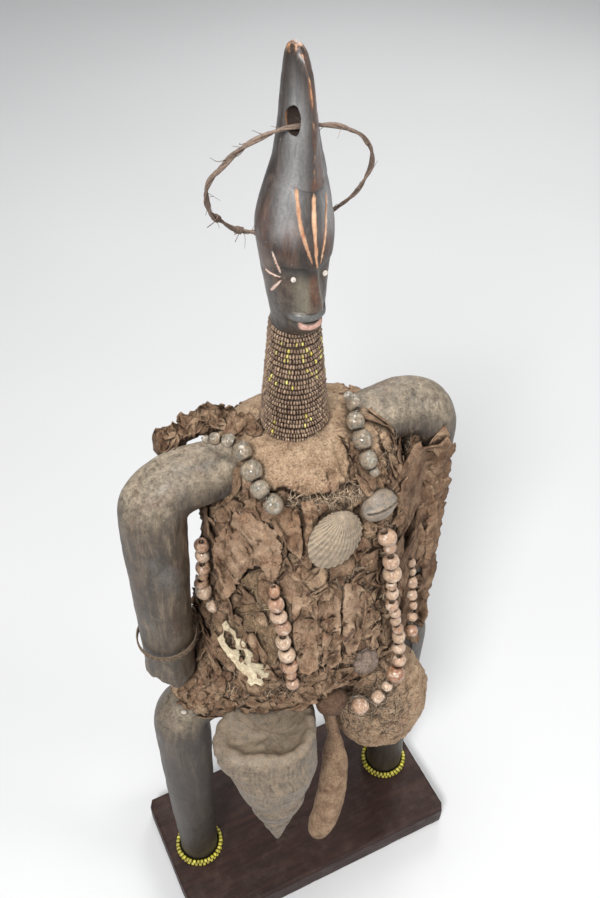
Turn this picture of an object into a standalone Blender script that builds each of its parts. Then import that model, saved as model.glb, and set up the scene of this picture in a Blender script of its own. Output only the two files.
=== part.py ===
"""A namji doll: a carved wooden figure dressed in clay, leather, beads and shells, on its board.

Metres, +Z up, and the doll looks along -Y. The origin is the middle of the board's underside.
"""

import itertools
import math

import bmesh
import bpy
import numpy as np
from mathutils import Matrix, Vector

# Driving sizes of the figure and its board
FIGURE_HEIGHT = 0.598
FIGURE_SETBACK = 0.004
BOARD_WIDTH = 0.207
BOARD_DEPTH = 0.107
BOARD_THICKNESS = 0.020
BOARD_EDGE_ROUND = 0.003
FIT_GAP = 0.0003
FLAT_ANGLE = math.radians(3)

# Sizes of what is tied and stuck to the figure
SEED_BEAD_PITCH = 0.0028
SEED_BEAD_DEPTH = 0.0028
ANKLE_BEAD = 0.0031
ANKLE_BEAD_ROWS = 2
TRADE_BEAD = 0.0096
BEAD_HOLE = 0.0024
HOOP_DIAMETER = 0.070
HOOP_THICKNESS = 0.0024
CREST_HOLE_WIDTH = 0.0078
CREST_HOLE_HEIGHT = 0.0115
COCKLE_WIDTH = 0.0295
COWRIE_LENGTH = 0.0232
SNAIL_LENGTH = 0.104
SNAIL_WIDTH = 0.054
POD_LENGTH = 0.100
POD_DIAMETER = 0.0190
LEATHER_THICKNESS = 0.002
SHARD_THICKNESS = 0.0014
BAND_CORD = 0.0022
BAND_TURNS = 3

# One figure unit is a six-hundredth of the figure's height, so about 1 mm on the doll.
# The carving, the pose and the lie of the dress are written in figure units above the board's top.
UNIT = FIGURE_HEIGHT / 600

# Carved body: height, half width, front depth, back depth, pointedness of the front
TRUNK = (
    (190, 36, 27, 27, 0.0), (250, 38, 30, 29, 0.0), (320, 35, 28, 27, 0.0),
    (380, 42, 29, 28, 0.0), (402, 36, 25, 25, 0.0),
)
HEAD = (
    (477, 11.0, 13.5, 10.5, 0.0), (479.5, 10.6, 16.6, 11.2, 0.0), (482, 10.8, 17.6, 11.8, 0.0),
    (484.4, 11.2, 18.0, 12.4, 0.0), (486.4, 11.5, 17.6, 13.0, 0.0), (488.6, 12.0, 18.2, 13.8, 0.0),
    (491.5, 12.5, 18.2, 14.6, 0.0), (494.5, 12.8, 18.0, 15.3, 0.0), (496.5, 13.0, 18.0, 15.8, 0.0),
    (501, 13.6, 17.6, 16.9, 0.0), (506, 14.2, 17.4, 17.9, 0.0), (510.5, 14.9, 17.4, 18.6, 0.0),
    (513.5, 15.4, 18.4, 18.9, 0.0), (516, 15.7, 19.2, 19.0, 0.0), (521, 16.2, 18.6, 19.1, 0.0),
    (528, 16.3, 17.6, 18.9, 0.05), (537, 14.7, 15.7, 16.8, 0.10), (546.4, 12.4, 14.1, 14.6, 0.15),
    (547.6, 12.2, 15.2, 14.3, 0.20), (555, 10.1, 15.0, 12.5, 0.25), (564, 8.6, 14.9, 11.0, 0.30),
    (572, 7.6, 14.4, 10.2, 0.30), (579, 6.8, 13.6, 9.4, 0.30), (586, 6.1, 12.1, 8.0, 0.30),
    (592, 5.3, 10.2, 6.4, 0.25), (596, 4.4, 8.0, 5.2, 0.20), (598.8, 3.0, 5.4, 4.0, 0.10),
)
CROWN = (600, 1.6, 2.8, 2.2, 0.0)
CREST_LEAN = ((520, 0.0), (533, 0.3), (553, 2.0), (570, 1.8), (590, 1.2), (600, 0.2))
HEAD_TURN = math.radians(-2)
FACE_ANGLES = (0, 8, 16, 25, 35, 47, 62, 80, 100, 122, 150)

# Heights and radii of the neck's bead wrap
WRAP_RISE, WRAP_TOP = 12.5, 476
WRAP_BOTTOM_RADIUS, WRAP_TOP_RADIUS = 17.8, 11.9
WRAP_SIDES = 12
RING_SIDES = 12

# Arms and legs are bent rods: half span, height of the cross part, lower end, radii along them
ARM_SPAN, ARM_SPREAD, ARM_BAR_HEIGHT, ARM_END = 77.8, 2.5, 397.5, 242
ARM_RADII = (16.2, 16.4, 17.6, 17.2, 15.6, 14.6)
LEG_SPAN, LEG_SPREAD, LEG_BAR_HEIGHT = 79, 1, 203
LEG_RADII = (16.0, 16.4, 17.6, 17.8, 15.9, 13.8)
BEND_RADIUS = 19
BAR_WAIST, BAR_DIP = 12.5, 2
ARM_BAND_HEIGHT = 276
WRAP_BOTTOM = ARM_BAR_HEIGHT + WRAP_RISE

# Heights given below between the belly and the shoulders keep in step with the arms' cross part
BELLY_HEIGHT, SHOULDER_HEIGHT = 240, 397.5
SIDE_BEADS_INSET = 22.8

# Clay dress: height, half width on the viewer's left and right, front depth, back depth
CLAY = (
    (192, 38, 34, 24, 24), (195, 44, 40, 27, 27), (203, 65.5, 50, 31, 32), (214, 80, 60, 37, 36),
    (226, 79, 62, 44, 40), (240, 66, 60, 52, 42), (256, 60, 58, 58, 43), (276, 56, 58, 59, 44),
    (300, 52, 58, 56, 44), (330, 48, 58, 52, 44), (356, 47, 58, 49, 44), (376, 46, 57, 45, 43),
    (392, 44, 54, 39, 40), (403, 40, 48, 31, 34), (410, 35, 38, 25, 27), (413.5, 27, 28, 21.5, 22),
)
CLAY_ROUNDNESS = 2.3
CLAY_SIDES = 26
CLAY_RING_STEP = 11

# Crest hole and the hoop that hangs in it
HOLE_HEIGHT, HOLE_SETBACK = 573.5, -6.2
CREST_HALF_WIDTH = 8.0
HOOP_TURN, HOOP_LEAN = math.radians(-8), math.radians(25)

# The spiral shell hangs from its mouth; widths are shares of its own, the coil shrinks turn by turn
SNAIL_TIP, SNAIL_MOUTH = (-50, -80, 146), (-38, -46, 240)
SNAIL_SHARES, SNAIL_WIDTHS = (0, 0.18, 0.32, 0.46, 0.61, 0.86), (0.03, 0.37, 0.65, 0.84, 0.98, 0.97)
SNAIL_STEPS = (0.02, 0.08, 0.14, 0.2, 0.27, 0.34, 0.41, 0.48, 0.56, 0.65, 0.75, 0.86)
SNAIL_BOWL = ((0.94, 0.93), (0.985, 0.78), (0.975, 0.62), (0.86, 0.34))
SNAIL_COIL, SNAIL_GROOVE = 0.55, 0.13
SNAIL_LOBE, SNAIL_LOBE_PLACE, SNAIL_LOBE_SPREAD = 0.28, math.radians(22), 0.55
SNAIL_SIDES = 16

# The pod's foot, the way it leans, and where its stalk goes into the clay
POD_FOOT, POD_WAY, POD_ROOT = (-14.5, -63.5, 79), (16.5, 13.5, 81), (0, -38, 222)
POD_SHARES = (0.0, 0.05, 0.15, 0.35, 0.6, 0.82, 0.94, 1.0)
POD_WIDTHS = (0.25, 0.62, 0.88, 1.0, 0.98, 0.84, 0.6, 0.45)
POD_BOW = (0.03, -0.04, 0)


def fresh_collection(name):
    """A collection of that name, linked to the scene."""
    collection = bpy.data.collections.new(name)
    bpy.context.scene.collection.children.link(collection)
    return collection


for leftover in list(bpy.data.objects):
    bpy.data.objects.remove(leftover, do_unlink=True)
DOLL = fresh_collection("namji_doll")
CUTTERS = fresh_collection("cutters")


def figure_axis():
    """The empty that carries the figure: on the board's top, a little behind its middle."""
    axis = bpy.data.objects.new("figure_axis", None)
    axis.location = (0, FIGURE_SETBACK, BOARD_THICKNESS + FIT_GAP)
    DOLL.objects.link(axis)
    return axis


AXIS = figure_axis()


def point(x, y, z):
    """A place on the figure, given in figure units."""
    return Vector((x, y, z)) * UNIT


def level(height):
    """A height on the trunk or its dress, moved with the arms' cross part."""
    if height <= BELLY_HEIGHT:
        return height
    if height >= SHOULDER_HEIGHT:
        return height - SHOULDER_HEIGHT + ARM_BAR_HEIGHT
    share = (height - BELLY_HEIGHT) / (SHOULDER_HEIGHT - BELLY_HEIGHT)
    return BELLY_HEIGHT + share * (ARM_BAR_HEIGHT - BELLY_HEIGHT)


def material(name, colour, roughness, metallic=0.0):
    """A plain Principled material."""
    made = bpy.data.materials.new(name)
    made.use_nodes = True
    shader = made.node_tree.nodes["Principled BSDF"]
    shader.inputs["Base Color"].default_value = (*colour, 1.0)
    shader.inputs["Roughness"].default_value = roughness
    shader.inputs["Metallic"].default_value = metallic
    made.diffuse_color = (*colour, 1.0)
    return made


def place(name, data, look, parent=None, matrix=None):
    """Puts mesh or curve data in the doll's collection, under the figure's axis."""
    made = bpy.data.objects.new(name, data)
    DOLL.objects.link(made)
    made.parent = parent
    if matrix is not None:
        made.matrix_local = matrix
    made.data.materials.clear()
    made.data.materials.append(look)
    return made


def bake(made):
    """Replaces an object's data by its evaluated mesh, welded, without loose crumbs."""
    bpy.context.view_layer.update()
    graph = bpy.context.evaluated_depsgraph_get()
    mesh = bpy.data.meshes.new_from_object(made.evaluated_get(graph))
    shape = bmesh.new()
    shape.from_mesh(mesh)
    bmesh.ops.remove_doubles(shape, verts=shape.verts, dist=0.00001)
    bmesh.ops.dissolve_degenerate(shape, edges=shape.edges, dist=0.00001)
    keep_largest(shape)
    bmesh.ops.recalc_face_normals(shape, faces=shape.faces)
    bmesh.ops.dissolve_limit(shape, angle_limit=FLAT_ANGLE, verts=shape.verts, edges=shape.edges)
    bmesh.ops.triangulate(shape, faces=shape.faces)
    shape.to_mesh(mesh)
    shape.free()
    name, look = made.name, made.data.materials[0]
    matrix, parent = made.matrix_local.copy(), made.parent
    bpy.data.objects.remove(made)
    mesh.materials.clear()
    made = place(name, mesh, look, parent, matrix)
    mesh.shade_smooth()
    mesh.set_sharp_from_angle(angle=math.radians(40))
    return made


def keep_largest(shape):
    """Deletes every loose bit but the one with the most corners."""
    left = set(shape.verts)
    islands = []
    while left:
        island, edge = set(), [left.pop()]
        while edge:
            vert = edge.pop()
            island.add(vert)
            near = [link.other_vert(vert) for link in vert.link_edges]
            edge.extend(other for other in near if other in left)
            left.difference_update(near)
        islands.append(island)
    islands.sort(key=len)
    crumbs = [vert for island in islands[:-1] for vert in island]
    bmesh.ops.delete(shape, geom=crumbs, context="VERTS")


def loft(rings):
    """A closed mesh through rings of equally many points, its ends filled."""
    mesh = bpy.data.meshes.new("loft")
    shape = bmesh.new()
    loops = [[shape.verts.new(corner) for corner in ring] for ring in rings]
    for lower, upper in itertools.pairwise(loops):
        for i, corner in enumerate(lower):
            j = (i + 1) % len(lower)
            shape.faces.new((corner, lower[j], upper[j], upper[i]))
    for end in (loops[0], loops[-1]):
        shape.faces.new(end)
    bmesh.ops.recalc_face_normals(shape, faces=shape.faces)
    shape.to_mesh(mesh)
    shape.free()
    return mesh


def swept(name, route, radii, look, sides_level=2):
    """A rod along a route, with a radius at each of its points."""
    curve = bpy.data.curves.new(name, "CURVE")
    curve.dimensions = "3D"
    curve.bevel_depth = 1.0
    curve.bevel_resolution = sides_level
    curve.use_fill_caps = True
    spline = curve.splines.new("POLY")
    spline.points.add(len(route) - 1)
    for knot, place_at, radius in zip(spline.points, route, radii):
        knot.co = (*place_at, 1.0)
        knot.radius = radius
    return bake(place(name, curve, look, AXIS))


def cut(made, cutter, solver="EXACT"):
    """Takes a cutter out of an object."""
    boolean(made, put_away(cutter), "DIFFERENCE", solver)


def put_away(cutter):
    """Keeps a cutter in its own collection, out of the model."""
    for holder in list(cutter.users_collection):
        holder.objects.unlink(cutter)
    CUTTERS.objects.link(cutter)
    cutter.hide_render = True
    cutter.display_type = "WIRE"
    return cutter


def boolean(made, other, operation, solver="EXACT"):
    """Adds a Boolean to an object."""
    modifier = made.modifiers.new(operation.lower(), "BOOLEAN")
    modifier.solver = solver
    modifier.operation = operation
    modifier.object = other


def joined(made, *others):
    """One solid made of several that overlap."""
    for other in others:
        boolean(made, other, "UNION")
    made = bake(made)
    for other in others:
        bpy.data.objects.remove(other)
    return made


def room_for(piece, gap=FIT_GAP):
    """A cutter with the shape of a piece, grown all round by a gap."""
    mesh = piece.data.copy()
    shape = bmesh.new()
    shape.from_mesh(mesh)
    shape.normal_update()
    moves = [(vert, vert.normal * gap * min(vert.calc_shell_factor(), 2.5)) for vert in shape.verts]
    for vert, move in moves:
        vert.co += move
    shape.to_mesh(mesh)
    shape.free()
    cutter = bpy.data.objects.new("room_for_" + piece.name, mesh)
    CUTTERS.objects.link(cutter)
    cutter.parent = piece.parent
    cutter.matrix_local = piece.matrix_local
    return cutter


BEDS = {}


def bedded(piece):
    """A piece whose bed is its own shape, grown before anything is cut out of it."""
    BEDS[piece.name] = put_away(room_for(piece))
    return piece


def fitted(made, neighbours):
    """A piece with room taken out of it for each neighbour: its bed where it has one, or its own shape."""
    for neighbour in neighbours:
        cut(made, BEDS.get(neighbour.name) or room_for(neighbour), "MANIFOLD")
    return bake(made)


def bell(distance, width):
    """A smooth bump of height 1 that fades out past its width."""
    return math.exp(-((distance / width) ** 2))


# Carved figure

WOOD = material("dark_wood", (0.045, 0.036, 0.031), 0.42)


def face_relief(height, angle):
    """How far the face stands out from the plain head, at a height and an angle in degrees off the front."""
    side = abs(angle)
    nose_run = np.interp(height, (494, 496, 499, 507, 515), (0.0, 4.6, 4.3, 3.4, 0.0))
    nose = nose_run * bell(side, np.interp(height, (494, 515), (17, 11)))
    recess = np.interp(height, (494, 503, 510, 513, 514.5), (0.0, 1.0, 2.0, 1.6, 0.0))
    cheek = -recess * bell(side - 30, 20)
    lips = 2.2 * bell(height - 488.9, 1.6) + 1.8 * bell(height - 483.6, 1.6) - 0.8 * bell(height - 486.4, 1.0)
    return nose + cheek + lips * bell(side, 34)


def section(station, turn=0.0, relief=True):
    """One ring of the carved body."""
    height, half_width, front, back, point_share = station
    around = [-angle for angle in FACE_ANGLES[:0:-1]] + list(FACE_ANGLES) + [180]
    ring = []
    for degrees in around:
        angle = math.radians(degrees)
        ahead = max(0.0, math.cos(angle))
        depth = front if abs(degrees) < 90 else back
        out = face_relief(height, degrees) if relief else 0.0
        lean = np.interp(height, *zip(*CREST_LEAN))
        x = half_width * math.sin(angle) * (1 - point_share * ahead) + out * math.sin(angle) + lean
        y = -(depth + out) * math.cos(angle)
        ring.append(Matrix.Rotation(turn, 3, "Z") @ point(x, y, height))
    return ring


def wrap_radius(height):
    """The bead wrap's outer radius, in metres."""
    return UNIT * np.interp(height, (WRAP_BOTTOM, WRAP_TOP), (WRAP_BOTTOM_RADIUS, WRAP_TOP_RADIUS))


def neck_radius(height):
    """The neck's radius under its bead wrap, in metres, clear of the wrap's flat sides."""
    return (wrap_radius(height) - SEED_BEAD_DEPTH) * math.cos(math.pi / WRAP_SIDES) - FIT_GAP


def trunk_and_head():
    """Trunk, neck, face and tall crest as one loft."""
    rings = [section((level(station[0]), *station[1:]), relief=False) for station in TRUNK]
    for height in (WRAP_BOTTOM, WRAP_TOP):
        share = neck_radius(height) / UNIT
        rings.append(section((height, share, share, share, 0.0), HEAD_TURN, relief=False))
    rings += [section(station, HEAD_TURN) for station in HEAD]
    rings.append(section(CROWN, HEAD_TURN, relief=False))
    return place("wood_figure", loft(rings), WOOD, AXIS)


def bent_rod(name, span, spread, bar_height, end_height, radii):
    """A pair of limbs and the bar that joins them, as one rod bent down at both ends."""
    start, bend = span - BEND_RADIUS, []
    for quarter in (0, 1, 2, 3):
        turn = math.radians(30 * quarter)
        x = start + BEND_RADIUS * math.sin(turn)
        z = bar_height - BEND_RADIUS * (1 - math.cos(turn))
        bend.append((x, z))
    low = bar_height - BEND_RADIUS
    down = [(span + spread * share, low + (end_height - low) * share) for share in (0.5, 1.0)]
    side = bend + down
    lengths = np.interp(np.linspace(0, 1, len(side)), np.linspace(0, 1, len(radii)), radii)
    middle = point(0, 0, bar_height - BAR_DIP)
    route = [point(-x, 0, z) for x, z in reversed(side)] + [middle] + [point(x, 0, z) for x, z in side]
    thick = [radius * UNIT for radius in (*reversed(lengths), BAR_WAIST, *lengths)]
    return swept(name, route, thick, WOOD, sides_level=4)


def stump_notch():
    """The wedge that broke out of the arm's end on the viewer's left."""
    bpy.ops.mesh.primitive_cube_add(size=1)
    wedge = bpy.context.object
    wedge.name = "stump_notch"
    wedge.parent = AXIS
    wedge.scale = point(24, 60, 20)
    wedge.location = point(-ARM_SPAN - 2, -6, ARM_END - 4)
    wedge.rotation_euler = (math.radians(8), math.radians(-24), math.radians(20))
    return wedge


def crest_hole():
    """The oval drilled sideways through the crest."""
    bpy.ops.mesh.primitive_cylinder_add(vertices=12, radius=0.5, depth=1)
    drill = bpy.context.object
    drill.name = "crest_hole"
    drill.parent = AXIS
    drill.scale = (CREST_HOLE_HEIGHT, CREST_HOLE_WIDTH, 60 * UNIT)
    drill.rotation_euler = (0, math.radians(90), HEAD_TURN)
    drill.location = point(0, HOLE_SETBACK, HOLE_HEIGHT)
    return drill


def wood_figure():
    """The whole carving, with its broken arm end and the hole in its crest."""
    body = trunk_and_head()
    arms = bent_rod("arms", ARM_SPAN, ARM_SPREAD, ARM_BAR_HEIGHT, ARM_END, ARM_RADII)
    legs = bent_rod("legs", LEG_SPAN, LEG_SPREAD, LEG_BAR_HEIGHT, 0, LEG_RADII)
    body = joined(body, arms, legs)
    cut(body, stump_notch())
    cut(body, crest_hole())
    return bake(body)


# Board

BOARD_WOOD = material("board_wood", (0.105, 0.045, 0.028), 0.45)


def display_board():
    """The flat board that the figure stands on."""
    bpy.ops.mesh.primitive_cube_add(size=1)
    board = bpy.context.object
    for vert in board.data.vertices:
        vert.co.x *= BOARD_WIDTH
        vert.co.y *= BOARD_DEPTH
        vert.co.z = (vert.co.z + 0.5) * BOARD_THICKNESS
    mesh = board.data
    bpy.data.objects.remove(board)
    board = place("display_board", mesh, BOARD_WOOD)
    bevel = board.modifiers.new("bevel", "BEVEL")
    bevel.width = min(BOARD_EDGE_ROUND, 0.4 * BOARD_THICKNESS)
    bevel.segments = 1
    return bake(board)


# Seed beads on the neck, the ankles and the cord round the arm

WRAP_BEADS = material("dusty_seed_beads", (0.16, 0.105, 0.08), 0.55)
YELLOW_BEADS = material("yellow_seed_beads", (0.55, 0.47, 0.04), 0.35)
CORD = material("plant_cord", (0.20, 0.14, 0.095), 0.8)


def turned(name, profile, steps, look, matrix):
    """A closed profile turned round its own upright axis."""
    mesh = bpy.data.meshes.new(name)
    count = len(profile)
    corners = [(radius, 0, height) for radius, height in profile]
    mesh.from_pydata(corners, [(i, (i + 1) % count) for i in range(count)], [])
    made = place(name, mesh, look, AXIS, matrix)
    screw = made.modifiers.new("screw", "SCREW")
    screw.steps = steps
    screw.render_steps = steps
    screw.use_merge_vertices = True
    screw.merge_threshold = 0.00001
    screw.use_normal_calculate = True
    return bake(made)


def neck_bead_wrap():
    """Rows of threaded beads wound close round the neck, as one ridged sleeve."""
    low, high = (WRAP_BOTTOM + 0.5) * UNIT, (WRAP_TOP - 0.5) * UNIT
    rows = max(3, round((high - low) / SEED_BEAD_PITCH))
    heights = np.linspace(high, low, rows * 2 + 1)
    outer = []
    for i, height in enumerate(heights):
        waist = 0.0 if i % 2 else 0.28 * SEED_BEAD_DEPTH
        outer.append((wrap_radius(height / UNIT) - waist, height))
    inner = [(wrap_radius(height / UNIT) - SEED_BEAD_DEPTH, height) for height in (low, high)]
    sleeve = [(wrap_radius(height / UNIT) + 1.2 * FIT_GAP, height) for height in (high, low - FIT_GAP)]
    profile = [*sleeve, (0, low - FIT_GAP), (0, high)]
    BEDS["neck_bead_wrap"] = put_away(turned("bed_of_wrap", profile, WRAP_SIDES, WRAP_BEADS, Matrix()))
    return turned("neck_bead_wrap", outer + inner, WRAP_SIDES, WRAP_BEADS, Matrix())


def beaded_ring(name, inner_radius, bead, rows, matrix, look):
    """A few rows of beads or cord round a limb, as one ridged ring."""
    outer, rows = [], max(1, round(rows))
    for i in range(rows * 2 + 1):
        out = bead if i % 2 else 0.6 * bead
        outer.append((inner_radius + out, (rows - i / 2) * bead))
    inner = [(inner_radius, 0.0), (inner_radius, rows * bead)]
    return turned(name, outer + inner, RING_SIDES, look, matrix)


def ankle_beads(name, side):
    """The yellow beads that lie round a foot, on the board."""
    spread = LEG_SPAN + LEG_SPREAD
    radius = LEG_RADII[-1] * UNIT + 0.0008
    matrix = Matrix.Translation(point(side * spread, 0, 0))
    return beaded_ring(name, radius, ANKLE_BEAD, ANKLE_BEAD_ROWS, matrix, YELLOW_BEADS)


def arm_cord_band():
    """The cord wound round the broken arm, just above the break."""
    share = (ARM_BAR_HEIGHT - BEND_RADIUS - ARM_BAND_HEIGHT) / (ARM_BAR_HEIGHT - BEND_RADIUS - ARM_END)
    arm = np.interp(0.6 + 0.4 * share, np.linspace(0, 1, len(ARM_RADII)), ARM_RADII) * UNIT
    radius = (arm + 2 * FIT_GAP) / math.cos(math.pi / RING_SIDES)
    at = point(-ARM_SPAN - ARM_SPREAD * share, 0, ARM_BAND_HEIGHT)
    lean = Matrix.Rotation(math.radians(1.0), 4, "Y")
    return beaded_ring("arm_cord_band", radius, BAND_CORD, BAND_TURNS, Matrix.Translation(at) @ lean, CORD)


# Hoop through the crest

WIRE = material("dark_fibre_wire", (0.075, 0.045, 0.03), 0.6)


def crest_hoop():
    """The ring of twisted fibre that hangs in the crest's hole, leaning back behind the head."""
    reach = HOOP_DIAMETER / 2
    sag = reach - math.sqrt(reach ** 2 - (CREST_HALF_WIDTH * UNIT) ** 2)
    floor = HOLE_HEIGHT * UNIT - CREST_HOLE_HEIGHT / 2
    hang_height = floor + HOOP_THICKNESS / 2 + sag + 3 * FIT_GAP
    bpy.ops.mesh.primitive_torus_add(
        major_segments=26, minor_segments=6, major_radius=reach, minor_radius=HOOP_THICKNESS / 2)
    ring = bpy.context.object
    mesh = ring.data
    bpy.data.objects.remove(ring)
    hang = Vector((0, HOLE_SETBACK * UNIT, hang_height))
    upright = Matrix.Rotation(math.radians(90), 4, "X")
    lean = Matrix.Rotation(HOOP_LEAN, 4, "X")
    turn = Matrix.Rotation(HOOP_TURN, 4, "Z")
    matrix = Matrix.Translation(hang) @ turn @ lean @ Matrix.Translation((0, 0, -reach)) @ upright
    return bake(place("crest_hoop", mesh, WIRE, AXIS, matrix))


# Clay dress

EARTH = material("dusty_clay", (0.20, 0.135, 0.095), 0.92)


def clay_lumps(angle, height):
    """How far the clay swells out of its plain form: folds, hollows and knobs."""
    ahead = max(0.0, math.cos(angle))
    folds = 2.2 * math.sin(angle * 26) * bell(angle - 0.12, 0.34) * bell(height - 300, 46)
    belt = 3.0 * bell(height - 262 - 10 * math.sin(angle * 3), 9) * ahead
    knobs = 1.3 * math.sin(angle * 7 + height * 0.11) * math.sin(height * 0.17 - angle * 4)
    paunch = 5.0 * bell(angle + 0.62, 0.3) * bell(height - 306, 32)
    fade = np.interp(height, (385, 408), (1.0, 0.15))
    return (folds + belt + knobs) * fade + paunch


def clay_point(angle, height, out=0.0):
    """A place on the clay at an angle off the front (viewer's right is plus), in figure units."""
    left, right, front, back = (
        np.interp(height, [row[0] for row in CLAY], [row[i] for row in CLAY]) for i in (1, 2, 3, 4))
    swell = clay_lumps(angle, height) + out
    half_width = (right if math.sin(angle) > 0 else left) + swell
    depth = (front if math.cos(angle) > 0 else back) + swell
    power = 2 / CLAY_ROUNDNESS
    x = math.copysign(half_width * abs(math.sin(angle)) ** power, math.sin(angle))
    y = -math.copysign(depth * abs(math.cos(angle)) ** power, math.cos(angle))
    return Vector((x, y, level(height)))


def clay_frame(angle, height, out=0.0, spin=0.0):
    """A matrix on the clay: its Z points out of the surface and its Y up along it."""
    here = clay_point(angle, height)
    along = clay_point(angle + 0.04, height) - clay_point(angle - 0.04, height)
    up = clay_point(angle, height + 3) - clay_point(angle, height - 3)
    normal = along.cross(up).normalized()
    up = (up - normal * up.dot(normal)).normalized()
    right = up.cross(normal)
    turn = Matrix((right, up, normal)).transposed().to_4x4()
    return Matrix.Translation((here + normal * out) * UNIT) @ turn @ Matrix.Rotation(spin, 4, "Z")


def torso_clay(neighbours):
    """The clay, earth and fibre that cover the trunk, hollowed for the wood and for what sits in it."""
    low, high = CLAY[0][0], CLAY[-1][0]
    steps = round((high - low) / CLAY_RING_STEP)
    rings = []
    for height in np.linspace(low, high, steps + 1):
        around = np.linspace(-math.pi, math.pi, CLAY_SIDES + 1)[:-1]
        rings.append([clay_point(angle, height) * UNIT for angle in around])
    return fitted(place("torso_clay", loft(rings), EARTH, AXIS), neighbours)


# Strands of trade beads

BEADS = material("dusty_trade_beads", (0.42, 0.33, 0.27), 0.35)


def smooth_route(knots):
    """A smooth run of points through hand-placed knots in figure units."""
    ends = [knots[0] * 2 - knots[1], *knots, knots[-1] * 2 - knots[-2]]
    run = []
    for before, start, stop, after in zip(ends, ends[1:], ends[2:], ends[3:]):
        for t in np.linspace(0, 1, 12, endpoint=False):
            pull = (stop - before) * t + (2 * before - 5 * start + 4 * stop - after) * t ** 2
            run.append(start + 0.5 * (pull + (3 * start - 3 * stop + after - before) * t ** 3))
    return run + [knots[-1]]


def along_route(run, distance):
    """The point at a distance along a run, in its own units."""
    for start, stop in itertools.pairwise(run):
        step = (stop - start).length
        if distance <= step:
            return start.lerp(stop, distance / step)
        distance -= step
    return run[-1]


def bead_strand(name, knots, shares, look=BEADS):
    """Beads threaded close together along a route, each a share of the usual bead size."""
    run = [corner * UNIT for corner in smooth_route([Vector((x, y, level(z))) for x, y, z in knots])]
    whole = sum((stop - start).length for start, stop in itertools.pairwise(run))
    route, radii, done = [], [], 0.0
    for share in itertools.cycle(shares):
        size = TRADE_BEAD * share
        if route and done + size > whole + 0.5 * TRADE_BEAD:
            break
        for offset, radius in ((0.0, BEAD_HOLE / 2), (0.24, 0.47 * size), (0.76, 0.47 * size)):
            route.append(along_route(run, done + offset * size))
            radii.append(max(radius, BEAD_HOLE / 2))
        done += size
    route.append(along_route(run, done))
    radii.append(BEAD_HOLE / 2)
    strand = swept(name, route, radii, look, sides_level=1)
    steps = max(4, round(done / TRADE_BEAD))
    lie = [along_route(run, done * i / steps) for i in range(steps + 1)]
    width = max(radii) * 1.08 + FIT_GAP
    BEDS[name] = put_away(swept("bed_of_" + name, lie, [width] * len(lie), look, sides_level=1))
    return strand


# Shells, pod, gourd and bundle

SHELL = material("grey_shell", (0.24, 0.21, 0.185), 0.5)
SNAIL = material("dusty_snail_shell", (0.25, 0.185, 0.14), 0.6)
POD = material("dry_pod", (0.23, 0.15, 0.10), 0.7)
NUT = material("dusty_nut", (0.22, 0.145, 0.085), 0.6)
BONE = material("cream_shard", (0.72, 0.64, 0.44), 0.6)
HIDE = material("stiff_leather", (0.17, 0.105, 0.075), 0.85)


def cockle_shell():
    """A ribbed shell, hinge up, pressed into the chest."""
    ribs, reach = 15, COCKLE_WIDTH / 2
    rings = []
    for ring in (0.08, 0.45, 0.8, 1.0):
        corners = []
        for i in range(ribs * 2):
            around = math.pi * i / ribs
            ridge = 1.0 + (0.035 if i % 2 else -0.035) * ring
            out = reach * ring * ridge
            height = 0.62 * reach * math.cos(ring * 1.35) * (1.0 + (0.03 if i % 2 else -0.03))
            corners.append(Vector((out * math.sin(around), 1.12 * out * math.cos(around), height)))
        rings.append(corners)
    base = [Vector((corner.x, corner.y, -0.22 * reach)) for corner in rings[-1]]
    for corners in rings:
        for corner in corners:
            corner.y += 0.35 * reach * (corner.z / (0.62 * reach))
    matrix = clay_frame(-0.018, 371.5, 0.6, math.radians(-8))
    return bake(place("cockle_shell", loft([*rings, base]), SHELL, AXIS, matrix))


def cowrie_shell():
    """A small shell with a slit, lying aslant beside the cockle."""
    bpy.ops.mesh.primitive_uv_sphere_add(segments=14, ring_count=8, radius=0.5)
    ball = bpy.context.object
    mesh = ball.data
    bpy.data.objects.remove(ball)
    mesh.transform(Matrix.Diagonal((COWRIE_LENGTH, 0.68 * COWRIE_LENGTH, 0.5 * COWRIE_LENGTH, 1)))
    matrix = clay_frame(0.419, 379, 1.8, math.radians(-14))
    shell = place("cowrie_shell", mesh, SHELL, AXIS, matrix)
    bpy.ops.mesh.primitive_cube_add(size=1)
    slit = bpy.context.object
    slit.name = "cowrie_slit"
    slit.scale = (0.92 * COWRIE_LENGTH, 0.055 * COWRIE_LENGTH, 0.16 * COWRIE_LENGTH)
    slit.parent = shell
    slit.location = (0, 0.04 * COWRIE_LENGTH, 0.26 * COWRIE_LENGTH)
    cut(shell, slit)
    return bake(shell)


def snail_radius(share, around):
    """The snail shell's radius at a share of its length from the tip: a fat cone grooved along its coil."""
    cone = 0.5 * SNAIL_WIDTH * np.interp(share, SNAIL_SHARES, SNAIL_WIDTHS)
    coil = (math.log(max(share, 0.03)) / math.log(SNAIL_COIL) + around / math.tau) % 1.0
    return cone * (1.0 - SNAIL_GROOVE * abs(2 * coil - 1) ** 2.4)


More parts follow.
